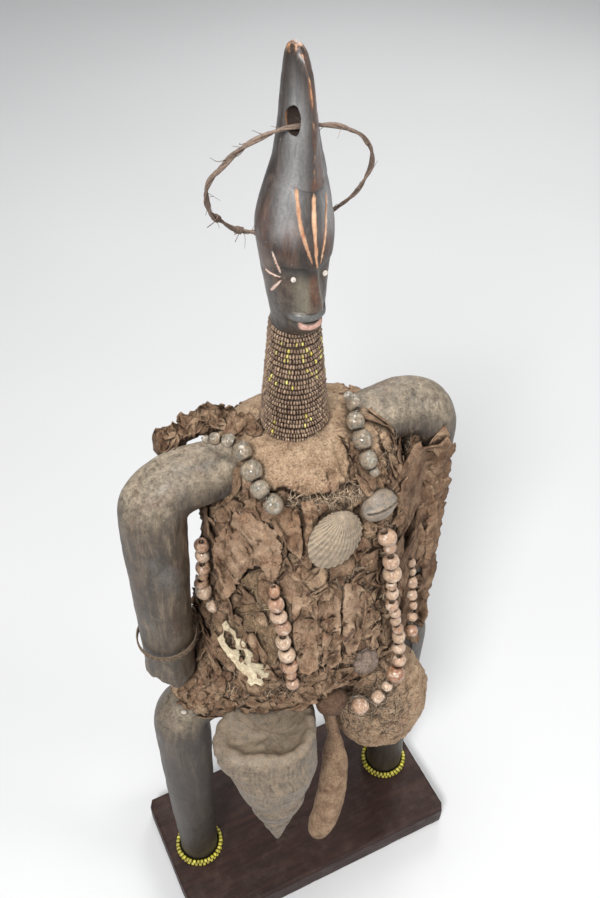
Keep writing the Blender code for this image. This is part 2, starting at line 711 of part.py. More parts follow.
def snail_shell():
    """The big spiral shell that hangs tip down at the belly, its mouth a bowl of packed clay."""
    rings = []
    for share in SNAIL_STEPS:
        ring = []
        for i in range(SNAIL_SIDES):
            around = math.tau * i / SNAIL_SIDES
            out = snail_radius(share, around)
            ring.append(Vector((out * math.cos(around), out * math.sin(around), share * SNAIL_LENGTH)))
        rings.append(ring)
    edge = rings[-1]
    for share, width in SNAIL_BOWL:
        ring = []
        for i, corner in enumerate(edge):
            around = math.tau * i / SNAIL_SIDES
            lobe = SNAIL_LOBE * bell(math.remainder(around - SNAIL_LOBE_PLACE, math.tau), SNAIL_LOBE_SPREAD)
            lip = width * (1.0 + 0.08 * math.sin(around * 3)) + lobe * min(1.0, width)
            ring.append(Vector((corner.x * lip, corner.y * lip, share * SNAIL_LENGTH)))
        rings.append(ring)
    tip = Vector(SNAIL_TIP)
    turn = (Vector(SNAIL_MOUTH) - tip).to_track_quat("Z", "Y").to_matrix().to_4x4()
    return bake(place("snail_shell", loft(rings), SNAIL, AXIS, Matrix.Translation(tip * UNIT) @ turn))


def pod():
    """The long dry pod beside the snail shell, hung by its own stalk from the clay."""
    foot, way, bow = point(*POD_FOOT), Vector(POD_WAY).normalized(), Vector(POD_BOW)
    route = [foot + POD_LENGTH * (way * share + bow * math.sin(math.pi * share)) for share in POD_SHARES]
    radii = [width * POD_DIAMETER / 2 for width in POD_WIDTHS]
    top, root = route[-1], point(*POD_ROOT)
    for share, width in ((0.35, 0.40), (0.7, 0.46), (1.0, 0.5)):
        route.append(top.lerp(root, share))
        radii.append(width * POD_DIAMETER / 2)
    return swept("pod", route, radii, POD, sides_level=3)


def pebble(name, centre, sizes, turn, look, wobble=0.06, segments=12, rings=8):
    """A rounded lump: an egg with shallow dents worked out from its own shape."""
    bpy.ops.mesh.primitive_uv_sphere_add(segments=segments, ring_count=rings, radius=1)
    ball = bpy.context.object
    mesh = ball.data
    bpy.data.objects.remove(ball)
    for vert in mesh.vertices:
        dent = math.sin(vert.co.x * 4.1 + 0.7) * math.sin(vert.co.y * 3.7 + 1.9) * math.cos(vert.co.z * 4.4)
        vert.co *= 1.0 + wobble * dent
    mesh.transform(Matrix.Diagonal((*point(*sizes), 1)))
    spin = Matrix.Rotation(math.radians(turn), 4, "Y")
    return bake(place(name, mesh, look, AXIS, Matrix.Translation(point(*centre)) @ spin))


def draped_patch(name, angle, height, size, thickness, rim, look, hole=0.0, slant=0.0):
    """A torn sheet that lies on the clay: rings from its middle, or from a hole, out to its rim."""
    mesh = bpy.data.meshes.new(name)
    shape = bmesh.new()
    sides, loops = 20, []
    for ring in (hole, 0.5 + 0.5 * hole, 1.0):
        loop = []
        for i in range(sides):
            around = math.tau * i / sides
            reach = ring * (rim(around) if ring > hole else 1.0)
            rise = reach * math.cos(around) * size[1]
            turn = angle + (reach * math.sin(around) * size[0] + slant * rise) / 50
            at = clay_point(turn, height + rise, thickness / 2 / UNIT)
            loop.append(shape.verts.new(at * UNIT))
        loops.append(loop)
        if ring == 0.0:
            loops.pop()
            bmesh.ops.delete(shape, geom=loop, context="VERTS")
    for inner, outer in itertools.pairwise(loops):
        for i in range(sides):
            j = (i + 1) % sides
            shape.faces.new((inner[i], inner[j], outer[j], outer[i]))
    if hole == 0.0:
        shape.faces.new(loops[0])
    bmesh.ops.recalc_face_normals(shape, faces=shape.faces)
    shape.to_mesh(mesh)
    shape.free()
    made = place(name, mesh, look, AXIS)
    solid = made.modifiers.new("solidify", "SOLIDIFY")
    solid.thickness = thickness
    solid.offset = 0
    solid.use_even_offset = False
    return bake(made)


def torn_rim(around):
    """A ragged edge."""
    return 0.86 + 0.10 * math.sin(around * 5 + 0.6) + 0.07 * math.sin(around * 11)


def notched_rim(around):
    """A ragged edge with a deep arch torn out of its lower side."""
    low = bell(math.remainder(around - math.radians(186), math.tau), 0.5)
    return torn_rim(around) * (1.0 - 0.55 * low)


def shard_rim(around):
    """The broken edge of the cream shard."""
    return 0.85 + 0.12 * math.sin(around * 3 + 1.0) + 0.09 * math.sin(around * 8)


def arm_leather():
    """Torn leather hung round the front of the arm on the viewer's right."""
    columns, rows = 9, 7
    mesh = bpy.data.meshes.new("arm_leather")
    shape = bmesh.new()
    grid = []
    for row in range(rows + 1):
        line = []
        for column in range(columns + 1):
            across, down = column / columns, row / rows
            tear = 10 * math.sin(across * 19) + 6 * math.sin(across * 41 + 1)
            height = 384 - (148 + tear) * down + 6 * math.sin(across * 7) * (1 - down)
            angle = math.radians(-74 + 114 * across + 5 * math.sin(down * 11))
            bulge = 1.4 * math.sin(across * 21 + down * 6) + 1.2 * down
            reach = np.interp(height, (ARM_END, 380), (ARM_RADII[-1], 18.0)) + 2.4 + bulge
            middle = np.interp(height, (ARM_END, 380), (ARM_SPAN + ARM_SPREAD, ARM_SPAN))
            at = point(middle + reach * math.sin(angle), -reach * math.cos(angle), height)
            line.append(shape.verts.new(at))
        grid.append(line)
    for upper, lower in itertools.pairwise(grid):
        for i in range(columns):
            shape.faces.new((upper[i], lower[i], lower[i + 1], upper[i + 1]))
    shape.to_mesh(mesh)
    shape.free()
    made = place("arm_leather", mesh, HIDE, AXIS)
    solid = made.modifiers.new("solidify", "SOLIDIFY")
    solid.thickness = LEATHER_THICKNESS
    solid.offset = 0
    return bake(made)


def shoulder_scraps():
    """The crumpled roll of leather and fibre behind the shoulder on the viewer's left."""
    knots = [(-66, 20, 400), (-54, 23, 404), (-40, 25, 406), (-26, 26, 403), (-12, 26, 398)]
    run = [corner * UNIT for corner in smooth_route([Vector(knot) for knot in knots])][::3]
    radii = [(6.5 + 1.4 * math.sin(i * 2.1)) * UNIT for i in range(len(run))]
    radii[0] = radii[-1] = 3.0 * UNIT
    return swept("shoulder_scraps", run, radii, HIDE, sides_level=2)


def build_doll():
    """Makes every piece; what is softer takes the shape of what is harder."""
    display_board()
    wood = wood_figure()
    wrap = neck_bead_wrap()
    ankle_beads("ankle_beads_left", -1)
    ankle_beads("ankle_beads_right", 1)
    band = arm_cord_band()
    crest_hoop()
    inset = SIDE_BEADS_INSET - ARM_SPAN
    strands = [
        bead_strand("beads_left_shoulder", [
            (-48, 2, 419), (-42, -2, 419.5), (-35.5, -8, 419), (-33.5, -18, 414), (-32.5, -26, 409),
            (-31, -33, 402.5), (-25, -37, 399)], (0.42, 0.62, 0.72, 0.98, 1.08, 0.94, 1.0, 0.9)),
        bead_strand("beads_left_side", [
            (inset, -3, 352), (inset - 0.5, -3, 330), (inset - 1, 0, 309), (inset + 3, -8, 297)],
            (0.85, 1.0, 0.96, 0.7)),
        bead_strand("beads_middle", [
            (-34, -46, 352), (-33, -51, 330), (-31, -56, 300), (-29.5, -60, 274)],
            (0.76, 0.88, 1.04, 1.0, 1.0, 1.04, 0.92, 0.7)),
        bead_strand("beads_right_shoulder", [
            (29, 1, 419), (27.5, -9, 418.5), (25, -20, 413), (24.5, -29, 406), (26, -36, 397)],
            (0.5, 0.9, 1.0, 1.06, 1.0)),
        bead_strand("beads_right_front", [
            (29, -47.5, 366), (32, -52, 335), (34, -55, 300), (38, -58, 272), (35, -62, 250),
            (24, -66, 240), (8, -66, 235)],
            (1.18, 0.78, 1.0, 1.18, 0.74, 0.9, 0.84, 0.8, 0.7, 0.82, 0.9, 1.0, 0.9)),
        bead_strand("beads_right_side", [(61, -26, 302), (58, -38, 280), (50, -53, 264)], (0.74, 0.6, 0.8)),
    ]
    cockle = cockle_shell()
    cowrie = cowrie_shell()
    snail = snail_shell()
    long_pod = pod()
    nut = pebble("brown_nut", (-3, -56, 236), (9.5, 8, 10), 0, NUT, wobble=0.03, segments=10, rings=7)
    lump = pebble("resin_lump", (15, -57, 270), (9.5, 9, 9.5), 0, SHELL, wobble=0.10, segments=10, rings=7)
    bundle = pebble("hip_bundle", (46, -34, 174), (32, 25, 52), -6, EARTH, wobble=0.05, segments=16, rings=10)
    patch = draped_patch("chest_leather", -0.85, 358.7, (24, 34), LEATHER_THICKNESS, notched_rim, HIDE)
    shard = draped_patch(
        "cream_shard", -0.89, 287.4, (9, 24), SHARD_THICKNESS, shard_rim, BONE, hole=0.3, slant=-0.35)
    leather = arm_leather()
    hard = [wood, wrap, band, *strands, cockle, cowrie, snail, long_pod, nut, lump]
    bundle = fitted(bedded(bundle), hard)
    shard = fitted(bedded(shard), hard)
    patch = fitted(bedded(patch), hard)
    leather = fitted(bedded(leather), [*hard, bundle])
    clay = torso_clay([*hard, bundle, shard, patch, leather])
    fitted(shoulder_scraps(), [wood, wrap, *strands, clay])


build_doll()
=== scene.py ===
"""The looks of the namji doll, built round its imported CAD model.

Metres, +Z up, the doll looks along -Y. Figure units are those of the part: a six-hundredth of the
figure's height, counted from the top of the board.
"""

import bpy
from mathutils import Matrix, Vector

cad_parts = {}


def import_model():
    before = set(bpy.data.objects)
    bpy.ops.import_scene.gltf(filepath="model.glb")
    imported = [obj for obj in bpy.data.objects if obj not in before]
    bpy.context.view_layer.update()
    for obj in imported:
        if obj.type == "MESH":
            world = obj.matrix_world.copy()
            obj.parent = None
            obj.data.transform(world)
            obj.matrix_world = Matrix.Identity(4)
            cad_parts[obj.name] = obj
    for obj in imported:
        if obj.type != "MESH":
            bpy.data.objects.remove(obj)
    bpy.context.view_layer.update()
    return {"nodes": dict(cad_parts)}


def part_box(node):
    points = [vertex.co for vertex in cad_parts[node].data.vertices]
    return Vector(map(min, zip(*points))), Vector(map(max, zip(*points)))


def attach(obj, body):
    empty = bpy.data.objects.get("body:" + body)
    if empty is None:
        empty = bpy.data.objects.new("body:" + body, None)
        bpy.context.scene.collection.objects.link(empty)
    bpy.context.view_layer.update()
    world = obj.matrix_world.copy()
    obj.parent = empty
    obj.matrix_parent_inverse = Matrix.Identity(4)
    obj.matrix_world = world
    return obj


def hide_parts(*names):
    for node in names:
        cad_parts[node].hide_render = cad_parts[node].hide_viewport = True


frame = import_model()

import itertools
import math

import bmesh
import bpy
import numpy as np
from mathutils import Matrix, Vector
from mathutils.bvhtree import BVHTree
from mathutils.geometry import delaunay_2d_cdt

UNIT = 0.598 / 600
FOOT = np.array((0.0, 0.004, 0.0203))
MM = 0.001

# Camera of the photograph, in its 600 x 898 picture
EYE = np.array((-0.15389, -0.31464, 0.7685))
RIGHT = np.array((0.89892, -0.43809, 0.00441))
DOWN = np.array((-0.30841, -0.63993, -0.70382))
AHEAD = np.array((0.31116, 0.63132, -0.71036))
FOCAL = 994.0
PICTURE = (600, 898)
MM_PER_PIXEL = 0.52

# Carved head: height, half width, front depth, back depth, pointedness of the front
HEAD = np.array((
    (468, 10.2, 10.2, 10.2, 0.0), (475, 10.8, 11.5, 10.4, 0.0), (477, 11.0, 13.5, 10.5, 0.0),
    (479.5, 10.6, 16.6, 11.2, 0.0), (482, 10.8, 17.6, 11.8, 0.0), (484.4, 11.2, 18.0, 12.4, 0.0),
    (486.4, 11.5, 17.6, 13.0, 0.0), (488.6, 12.0, 18.2, 13.8, 0.0), (491.5, 12.5, 18.2, 14.6, 0.0),
    (494.5, 12.8, 18.0, 15.3, 0.0), (496.5, 13.0, 18.0, 15.8, 0.0), (501, 13.6, 17.6, 16.9, 0.0),
    (506, 14.2, 17.4, 17.9, 0.0), (510.5, 14.9, 17.4, 18.6, 0.0), (513.5, 15.4, 18.4, 18.9, 0.0),
    (516, 15.7, 19.2, 19.0, 0.0), (521, 16.2, 18.6, 19.1, 0.0), (528, 16.3, 17.6, 18.9, 0.05),
    (537, 14.7, 15.7, 16.8, 0.10), (546.4, 12.4, 14.1, 14.6, 0.15), (548.0, 12.1, 14.1, 14.2, 0.20),
    (555, 10.1, 13.9, 12.5, 0.25), (564, 8.6, 13.8, 11.0, 0.30), (572, 7.6, 13.3, 10.2, 0.30),
    (579, 6.8, 12.5, 9.4, 0.30), (586, 6.1, 11.0, 8.0, 0.30), (592, 5.3, 9.2, 6.4, 0.25),
    (596, 4.4, 7.0, 5.2, 0.20), (598.8, 3.0, 4.6, 4.0, 0.10), (600, 1.5, 2.2, 2.2, 0.0),
))
CREST_STEP_HEIGHT = 547.0
CREST_STEP = 1.1
CREST_LEAN = ((520, 0.0), (533, 0.3), (553, 2.0), (570, 1.8), (590, 1.2), (600, 0.2))
HEAD_TURN = math.radians(-2)
CREST_HOLE = dict(height=573.5, setback=-6.2, width=7.8 * MM, tall=11.5 * MM)

# Limbs as bent rods, and the neck's wrap, as in the part
ARMS = dict(span=77.8, spread=2.5, bar=397.5, end=242, radii=(16.2, 16.4, 17.6, 17.2, 15.6, 14.6))
LEGS = dict(span=79, spread=1, bar=203, end=0, radii=(16.0, 16.4, 17.6, 17.8, 15.9, 13.8))
BEND_RADIUS = 19
BAR_DROOP, BAR_RADIUS = 2, 12.5
TRUNK = ((190, 36, 27, 27), (250, 38, 30, 29), (320, 35, 28, 27), (380, 42, 29, 28), (402, 36, 25, 25))
WRAP_LOW, WRAP_HIGH, WRAP_WIDE, WRAP_NARROW = 410, 476, 17.8, 11.9

# Clay dress: height, half width on the viewer's left and right, front depth, back depth
CLAY = np.array((
    (192, 38, 34, 24, 24), (195, 44, 40, 27, 27), (203, 65.5, 50, 31, 32), (214, 80, 60, 37, 36),
    (226, 79, 62, 44, 40), (240, 66, 60, 52, 42), (256, 60, 58, 58, 43), (276, 56, 58, 59, 44),
    (300, 52, 58, 56, 44), (330, 48, 58, 52, 44), (356, 47, 58, 49, 44), (376, 46, 57, 45, 43),
    (392, 44, 54, 39, 40), (403, 40, 48, 31, 34), (410, 35, 38, 25, 27), (413.5, 27, 28, 21.5, 22),
))
CLAY_ROUNDNESS = 2.3


# Numbers: noise, places and the photograph's view

def world(points):
    """Figure units to metres in the row frame."""
    return np.asarray(points, float) * UNIT + FOOT


def lattice(cells, seed):
    """Pseudo-random numbers from -1 to 1 for whole-number cells."""
    x, y, z = (cells[..., i].astype(np.int64) for i in range(3))
    mixed = (x * 374761393 + y * 668265263 + z * 1442695041 + seed * 974634777) & 0xFFFFFFFF
    mixed = ((mixed ^ (mixed >> 13)) * 1274126177) & 0xFFFFFFFF
    mixed ^= mixed >> 16
    return (mixed & 0xFFFF) / 32767.5 - 1.0


def noise(points, size, seed=0, octaves=3, rough=0.5):
    """Smooth noise, roughly from -1 to 1, with lumps of a size in metres."""
    points = np.asarray(points, float)
    total, weight = np.zeros(len(points)), 1.0
    for octave in range(octaves):
        spot = points / size + 31.7 * (octave + 1)
        base = np.floor(spot)
        share = spot - base
        share = share * share * share * (share * (share * 6 - 15) + 10)
        value = np.zeros(len(points))
        for corner in itertools.product((0, 1), repeat=3):
            weights = np.prod(np.where(corner, share, 1 - share), axis=1)
            value += weights * lattice(base + corner, seed + octave)
        total += weight * value
        weight *= rough
        size *= 0.5
    return total


def pebbles(points, size, seed=0):
    """Distance to the nearest of scattered points and the gap to the second, in cells, and its own number."""
    spot = np.asarray(points, float) / size
    base = np.floor(spot)
    best = np.full((2, len(spot)), 9.0)
    own = np.zeros(len(spot))
    for step in itertools.product((-1, 0, 1), repeat=3):
        cell = base + step
        centre = cell + 0.5 + 0.45 * np.stack([lattice(cell, seed + i) for i in range(3)], axis=1)
        far = np.linalg.norm(centre - spot, axis=1)
        best[1] = np.minimum(best[1], np.maximum(best[0], far))
        own = np.where(far < best[0], lattice(cell, seed + 7), own)
        best[0] = np.minimum(best[0], far)
    return best[0], best[1] - best[0], own


def smoothstep(low, high, value):
    """A soft step from 0 at low to 1 at high."""
    share = np.clip((value - low) / (high - low), 0, 1)
    return share * share * (3 - 2 * share)


def bell(distance, width):
    """A smooth bump of height 1 that fades out past its width."""
    return np.exp(-((distance / width) ** 2))


def project(points):
    """Pixels of the photograph where points in the row frame are seen."""
    away = np.asarray(points, float) - EYE
    depth = away @ AHEAD
    return np.stack([PICTURE[0] / 2 + FOCAL * (away @ RIGHT) / depth,
                     PICTURE[1] / 2 + FOCAL * (away @ DOWN) / depth], axis=1)


def sight(pixel):
    """The direction in which the photograph's camera sees a pixel."""
    x, y = (pixel[0] - PICTURE[0] / 2) / FOCAL, (pixel[1] - PICTURE[1] / 2) / FOCAL
    return Vector(AHEAD + x * RIGHT + y * DOWN).normalized()


def inside(outline, pixels):
    """Which pixels lie in a closed outline."""
    found = np.zeros(len(pixels), bool)
    x, y = pixels[:, 0], pixels[:, 1]
    for (x0, y0), (x1, y1) in zip(outline, [*outline[1:], outline[0]]):
        crosses = (y0 > y) != (y1 > y)
        with np.errstate(divide="ignore", invalid="ignore"):
            reach = (x1 - x0) * (y - y0) / (y1 - y0) + x0
        found ^= crosses & (x < reach)
    return found


def line_distance(route, points):
    """Distance from points to a route, and how far along it the nearest place is, from 0 to 1."""
    route = np.asarray(route, float)
    best, along = np.full(len(points), 1e9), np.zeros(len(points))
    for i, (start, stop) in enumerate(itertools.pairwise(route)):
        step = stop - start
        share = np.clip(((points - start) @ step) / max(step @ step, 1e-12), 0, 1)
        far = np.linalg.norm(points - start - share[:, None] * step, axis=1)
        nearer = far < best
        best = np.where(nearer, far, best)
        along = np.where(nearer, (i + share) / (len(route) - 1), along)
    return best, along


# Meshes

def linked(name, data):
    """An object of the scene with its data."""
    made = bpy.data.objects.new(name, data)
    bpy.context.scene.collection.objects.link(made)
    return made


def piece(name, points, faces, look, stands_for=(), tones=None):
    """A mesh piece that rides on the doll, with any painted tones, one number a point."""
    mesh = bpy.data.meshes.new(name)
    mesh.from_pydata(np.asarray(points, float).tolist(), [], [list(map(int, face)) for face in faces])
    shape = bmesh.new()
    shape.from_mesh(mesh)
    bmesh.ops.recalc_face_normals(shape, faces=shape.faces)
    shape.to_mesh(mesh)
    shape.free()
    mesh.shade_smooth()
    made = linked(name, mesh)
    mesh.materials.append(look)
    for tone, values in (tones or {}).items():
        layer = mesh.attributes.new(tone, "FLOAT", "POINT")
        layer.data.foreach_set("value", np.asarray(values, np.float32))
    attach(made, "root")
    if stands_for:
        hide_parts(*stands_for)
    return made


def grid_faces(rows, columns, wrapped=True):
    """Quads over rows of points, closed round where wrapped."""
    row, column = np.meshgrid(np.arange(rows - 1), np.arange(columns if wrapped else columns - 1),
                              indexing="ij")
    after = (column + 1) % columns
    quads = np.stack([row * columns + column, row * columns + after,
                      (row + 1) * columns + after, (row + 1) * columns + column], axis=-1)
    return quads.reshape(-1, 4).tolist()


def grid_normals(points):
    """Outward normals of a grid of points, rows upward and columns closed round counterclockwise."""
    along = np.roll(points, -1, axis=1) - np.roll(points, 1, axis=1)
    up = np.gradient(points, axis=0)
    return unit(np.cross(along, up))


def closed_grid(points):
    """Faces of a grid closed round its columns, its first and last rows filled with a fan each."""
    rows, columns = points.shape[:2]
    flat = points.reshape(-1, 3)
    low, high = flat[:columns].mean(axis=0), flat[-columns:].mean(axis=0)
    corners = np.vstack([flat, low, high])
    faces = grid_faces(rows, columns)
    last, base = rows * columns, (rows - 1) * columns
    for i in range(columns):
        j = (i + 1) % columns
        faces.append([j, i, last])
        faces.append([base + i, base + j, last + 1])
    return corners, faces


class Heap:
    """Points and faces gathered for one mesh, with a tone for each point."""

    def __init__(self):
        self.points, self.faces, self.tones, self.count = [], [], [], 0

    def add(self, points, faces, tone=0.0):
        """Adds a shape."""
        points = np.asarray(points, float)
        self.points.append(points)
        self.tones.append(np.broadcast_to(np.asarray(tone, float), len(points)))
        self.faces += [[corner + self.count for corner in face] for face in faces]
        self.count += len(points)

    def piece(self, name, look, slot, stands_for=()):
        """The gathered mesh as a piece."""
        tones = {"tone": np.concatenate(self.tones)}
        return piece(name, np.vstack(self.points), self.faces, look, stands_for, tones)


def smooth_route(knots, steps=10):
    """A smooth run of points through knots."""
    knots = np.asarray(knots, float)
    ends = [knots[0] * 2 - knots[1], *knots, knots[-1] * 2 - knots[-2]]
    run = []
    for before, start, stop, after in zip(ends, ends[1:], ends[2:], ends[3:]):
        for t in np.linspace(0, 1, steps, endpoint=False):
            pull = (stop - before) * t + (2 * before - 5 * start + 4 * stop - after) * t ** 2
            run.append(start + 0.5 * (pull + (3 * start - 3 * stop + after - before) * t ** 3))
    return np.array(run + [knots[-1]])


def unit(vectors, least=1e-12):
    """Vectors scaled to length 1, each row by itself."""
    return vectors / np.maximum(np.linalg.norm(vectors, axis=-1, keepdims=True), least)


def carried(ahead, side):
    """Two directions across a route at each of its places, carried along it without a twist."""
    for direction in ahead:
        side = side - direction * (side @ direction)
        side = side / np.linalg.norm(side)
        yield side, np.cross(direction, side)


def tube(route, radii, sides=8):
    """Points and faces of a tube along a route, its ends closed."""
    route = np.asarray(route, float)
    radii = np.broadcast_to(np.asarray(radii, float), len(route))
    ahead = unit(np.gradient(route, axis=0))
    side = np.cross(ahead[0], (0.31, 0.52, 0.79))
    side /= np.linalg.norm(side)
    turn = np.linspace(0, math.tau, sides, endpoint=False)
    rings = [at + radius * (np.outer(np.cos(turn), side) + np.outer(np.sin(turn), other))
             for at, (side, other), radius in zip(route, carried(ahead, side), radii)]
    return closed_grid(np.array(rings))


def away_from(run, corners, sides):
    """Directions from a tube's route to its corners."""
    middle = np.array([run[min(i // sides, len(run) - 1)] for i in range(len(corners))])
    return unit(corners - middle, 1e-9)


def lathe(profile, segments, closed=True):
    """Points and faces of a closed profile of (radius, height) turned round Z."""
    turn = np.linspace(0, math.tau, segments, endpoint=False)
    points = np.array([[(radius * math.cos(t), radius * math.sin(t), height) for t in turn]
                       for radius, height in profile])
    rows = len(profile)
    faces = grid_faces(rows, segments)
    if closed:
        base = (rows - 1) * segments
        for i in range(segments):
            j = (i + 1) % segments
            faces.append([base + i, base + j, j, i])
    return points.reshape(-1, 3), faces


def oriented(points, at, axis, spin=0.0):
    """Points moved to a place with their Z turned to an axis."""
    turn = Vector(axis).to_track_quat("Z", "Y").to_matrix() @ Matrix.Rotation(spin, 3, "Z")
    return points @ np.array(turn).T + np.asarray(at, float)


# Materials

class Look:
    """A Principled material whose colour and relief come from noise in the object's own metres."""

    def __init__(self, name, **constants):
        self.material = bpy.data.materials.new(name)
        self.material.use_nodes = True
        self.tree = self.material.node_tree
        self.shader = self.tree.nodes["Principled BSDF"]
        for socket, value in constants.items():
            self.shader.inputs[socket.replace("_", " ")].default_value = value
        self.where = self.add("ShaderNodeTexCoord").outputs["Object"]

    def add(self, kind, inputs=(), **settings):
        """A node with its settings, and its inputs fed by sockets or plain values."""
        node = self.tree.nodes.new(kind)
        for key, value in settings.items():
            setattr(node, key, value)
        for key, value in dict(inputs).items():
            if isinstance(value, bpy.types.NodeSocket):
                self.tree.links.new(value, node.inputs[key])
            else:
                node.inputs[key].default_value = value
        return node

    def place(self, stretch):
        """The object's coordinates, squeezed along its axes."""
        if stretch == (1, 1, 1):
            return self.where
        return self.add("ShaderNodeVectorMath", {0: self.where, 1: stretch}, operation="MULTIPLY").outputs[0]

    def grain(self, size, detail=4, rough=0.6, stretch=(1, 1, 1), bend=0.0):
        """Noise with lumps of a size in metres."""
        fed = {"Vector": self.place(stretch), "Scale": 1 / size, "Detail": detail,
               "Roughness": rough, "Distortion": bend}
        return self.add("ShaderNodeTexNoise", fed).outputs["Fac"]

    def cells(self, size, feature="F1", stretch=(1, 1, 1)):
        """Distance to scattered cell centres, or to the cells' edges."""
        fed = {"Vector": self.place(stretch), "Scale": 1 / size}
        return self.add("ShaderNodeTexVoronoi", fed, feature=feature).outputs["Distance"]

    def ramp(self, share, *stops):
        """A colour ramp, or a grey one for plain numbers."""
        node = self.add("ShaderNodeValToRGB", {"Fac": share})
        ramp = node.color_ramp
        while len(ramp.elements) < len(stops):
            ramp.elements.new(0.5)
        for element, (at, colour) in zip(ramp.elements, stops):
            element.position = at
            element.color = (colour,) * 3 + (1,) if isinstance(colour, (int, float)) else (*colour, 1)
        return node.outputs["Color"]

    def mix(self, share, low, high, kind="MIX"):
        """Two colours mixed."""
        node = self.add("ShaderNodeMix", data_type="RGBA", blend_type=kind, clamp_factor=True)
        for socket, value in ((node.inputs[0], share), (node.inputs[6], low), (node.inputs[7], high)):
            if isinstance(value, bpy.types.NodeSocket):
                self.tree.links.new(value, socket)
            else:
                socket.default_value = value if isinstance(value, (int, float)) else (*value, 1)
        return node.outputs[2]

    def sum(self, low, high, kind="ADD", clamp=False):
        """Arithmetic on two numbers."""
        return self.add("ShaderNodeMath", {0: low, 1: high}, operation=kind, use_clamp=clamp).outputs[0]

    def times(self, low, high, clamp=False):
        """The product of two numbers."""
        return self.sum(low, high, "MULTIPLY", clamp)

    def painted(self, tone):
        """A tone painted on the mesh's points."""
        return self.add("ShaderNodeAttribute", attribute_name=tone).outputs["Fac"]

    def painted_hollow_shade(self, colour, dark, reach=0.007, share=0.85):
        """Painted shade: a colour darkened where the surface lies deep between others."""
        open_air = self.add("ShaderNodeAmbientOcclusion", {"Distance": reach}, samples=4).outputs["AO"]
        return self.mix(self.ramp(open_air, (0.30, share), (0.82, 0.0)), colour, dark)

    def facing_up(self, low=0.1, high=0.9):
        """How far the surface faces up, from 0 to 1."""
        normal = self.add("ShaderNodeNewGeometry").outputs["Normal"]
        upward = self.add("ShaderNodeSeparateXYZ", {0: normal}).outputs["Z"]
        return self.add("ShaderNodeMapRange", {"Value": upward, "From Min": low, "From Max": high}).outputs[0]

    def finish(self, colour, roughness=None, relief=(), bump=1.0):
        """Feeds the shader; relief is (height in metres, number) pairs."""
        self.tree.links.new(colour, self.shader.inputs["Base Color"])
        if roughness is not None:
            self.tree.links.new(roughness, self.shader.inputs["Roughness"])
        normal = None
        for depth, height in relief:
            fed = {"Height": height, "Distance": depth, "Strength": bump}
            if normal is not None:
                fed["Normal"] = normal
            normal = self.add("ShaderNodeBump", fed).outputs["Normal"]
        if normal is not None:
            self.tree.links.new(normal, self.shader.inputs["Normal"])
        return self.material


def carved_wood():
    """Old dark wood: streaked along its grain, dusty and painted lighter where it faces up, polished where
    hands wore it, with a painted grey sheen on the polish and painted shade towards the bottom.
    """
    look = Look("carved_wood", Coat_Weight=0.12, Coat_Roughness=0.25, Specular_IOR_Level=0.5)
    streaks = look.grain(0.0050, 7, 0.78, (1, 1, 0.14), 0.5)
    patches = look.grain(0.032, 5, 0.6, (1, 1, 0.6), 0.4)
    speckle = look.grain(0.0014, 6, 0.8)
    colour = look.ramp(streaks, (0.32, (0.012, 0.008, 0.005)), (0.45, (0.040, 0.027, 0.017)),
                       (0.58, (0.115, 0.082, 0.053)), (0.70, (0.260, 0.195, 0.130)))
    stain = look.ramp(look.grain(0.011, 6, 0.75, (1, 1, 0.5), 0.5), (0.47, 0.0), (0.57, 0.75))
    colour = look.mix(stain, colour, (0.030, 0.020, 0.013))
    red = look.ramp(look.grain(0.020, 5, 0.7, (1, 1, 0.4), 0.8), (0.55, 0.0), (0.70, 0.6))
    colour = look.mix(red, colour, (0.088, 0.037, 0.021))
    # Polished patches: less rough, and a painted grey sheen in the colour for their reflection.
    polish_and_painted_sheen = look.ramp(patches, (0.55, 0.0), (0.66, 0.60))
    colour = look.mix(polish_and_painted_sheen, colour, look.ramp(speckle, (0.35, (0.062, 0.061, 0.058)),
                                                (0.60, (0.185, 0.182, 0.174))))
    # Dust where the wood faces up, made pale enough to stand for the light on the tops too: real dust and
    # painted top light.
    dust = look.times(look.facing_up(-0.10, 0.60), look.ramp(patches, (0.30, 1.0), (0.60, 0.35)))
    dust = look.times(dust, look.ramp(look.grain(0.0042, 7, 0.8), (0.36, 0.15), (0.58, 1.0)))
    dust = look.times(dust, look.ramp(speckle, (0.36, 0.35), (0.55, 1.0)), True)
    colour = look.mix(dust, colour, (0.500, 0.415, 0.300))
    specks = look.ramp(look.cells(0.0060), (0.05, 0.8), (0.09, 0.0))
    colour = look.mix(specks, colour, (0.300, 0.230, 0.160))
    # Painted shade: the wood darkens towards the bottom, below 0.24 m, for the light falling off on the legs.
    height = look.add("ShaderNodeSeparateXYZ", {0: look.where}).outputs["Z"]
    low = look.add("ShaderNodeMapRange", {"Value": height, "From Min": 0.240, "From Max": 0.150,
                                          "To Max": 0.80}).outputs[0]
    colour = look.mix(low, colour, (0.022, 0.015, 0.010))
    rough = look.mix(polish_and_painted_sheen, look.mix(dust, (0.50,) * 3, (0.9,) * 3), (0.36,) * 3)
    relief = ((0.0006, streaks), (0.00035, speckle), (0.0012, patches))
    return look.finish(look.painted_hollow_shade(colour, (0.014, 0.009, 0.006)), rough, relief, 0.8)


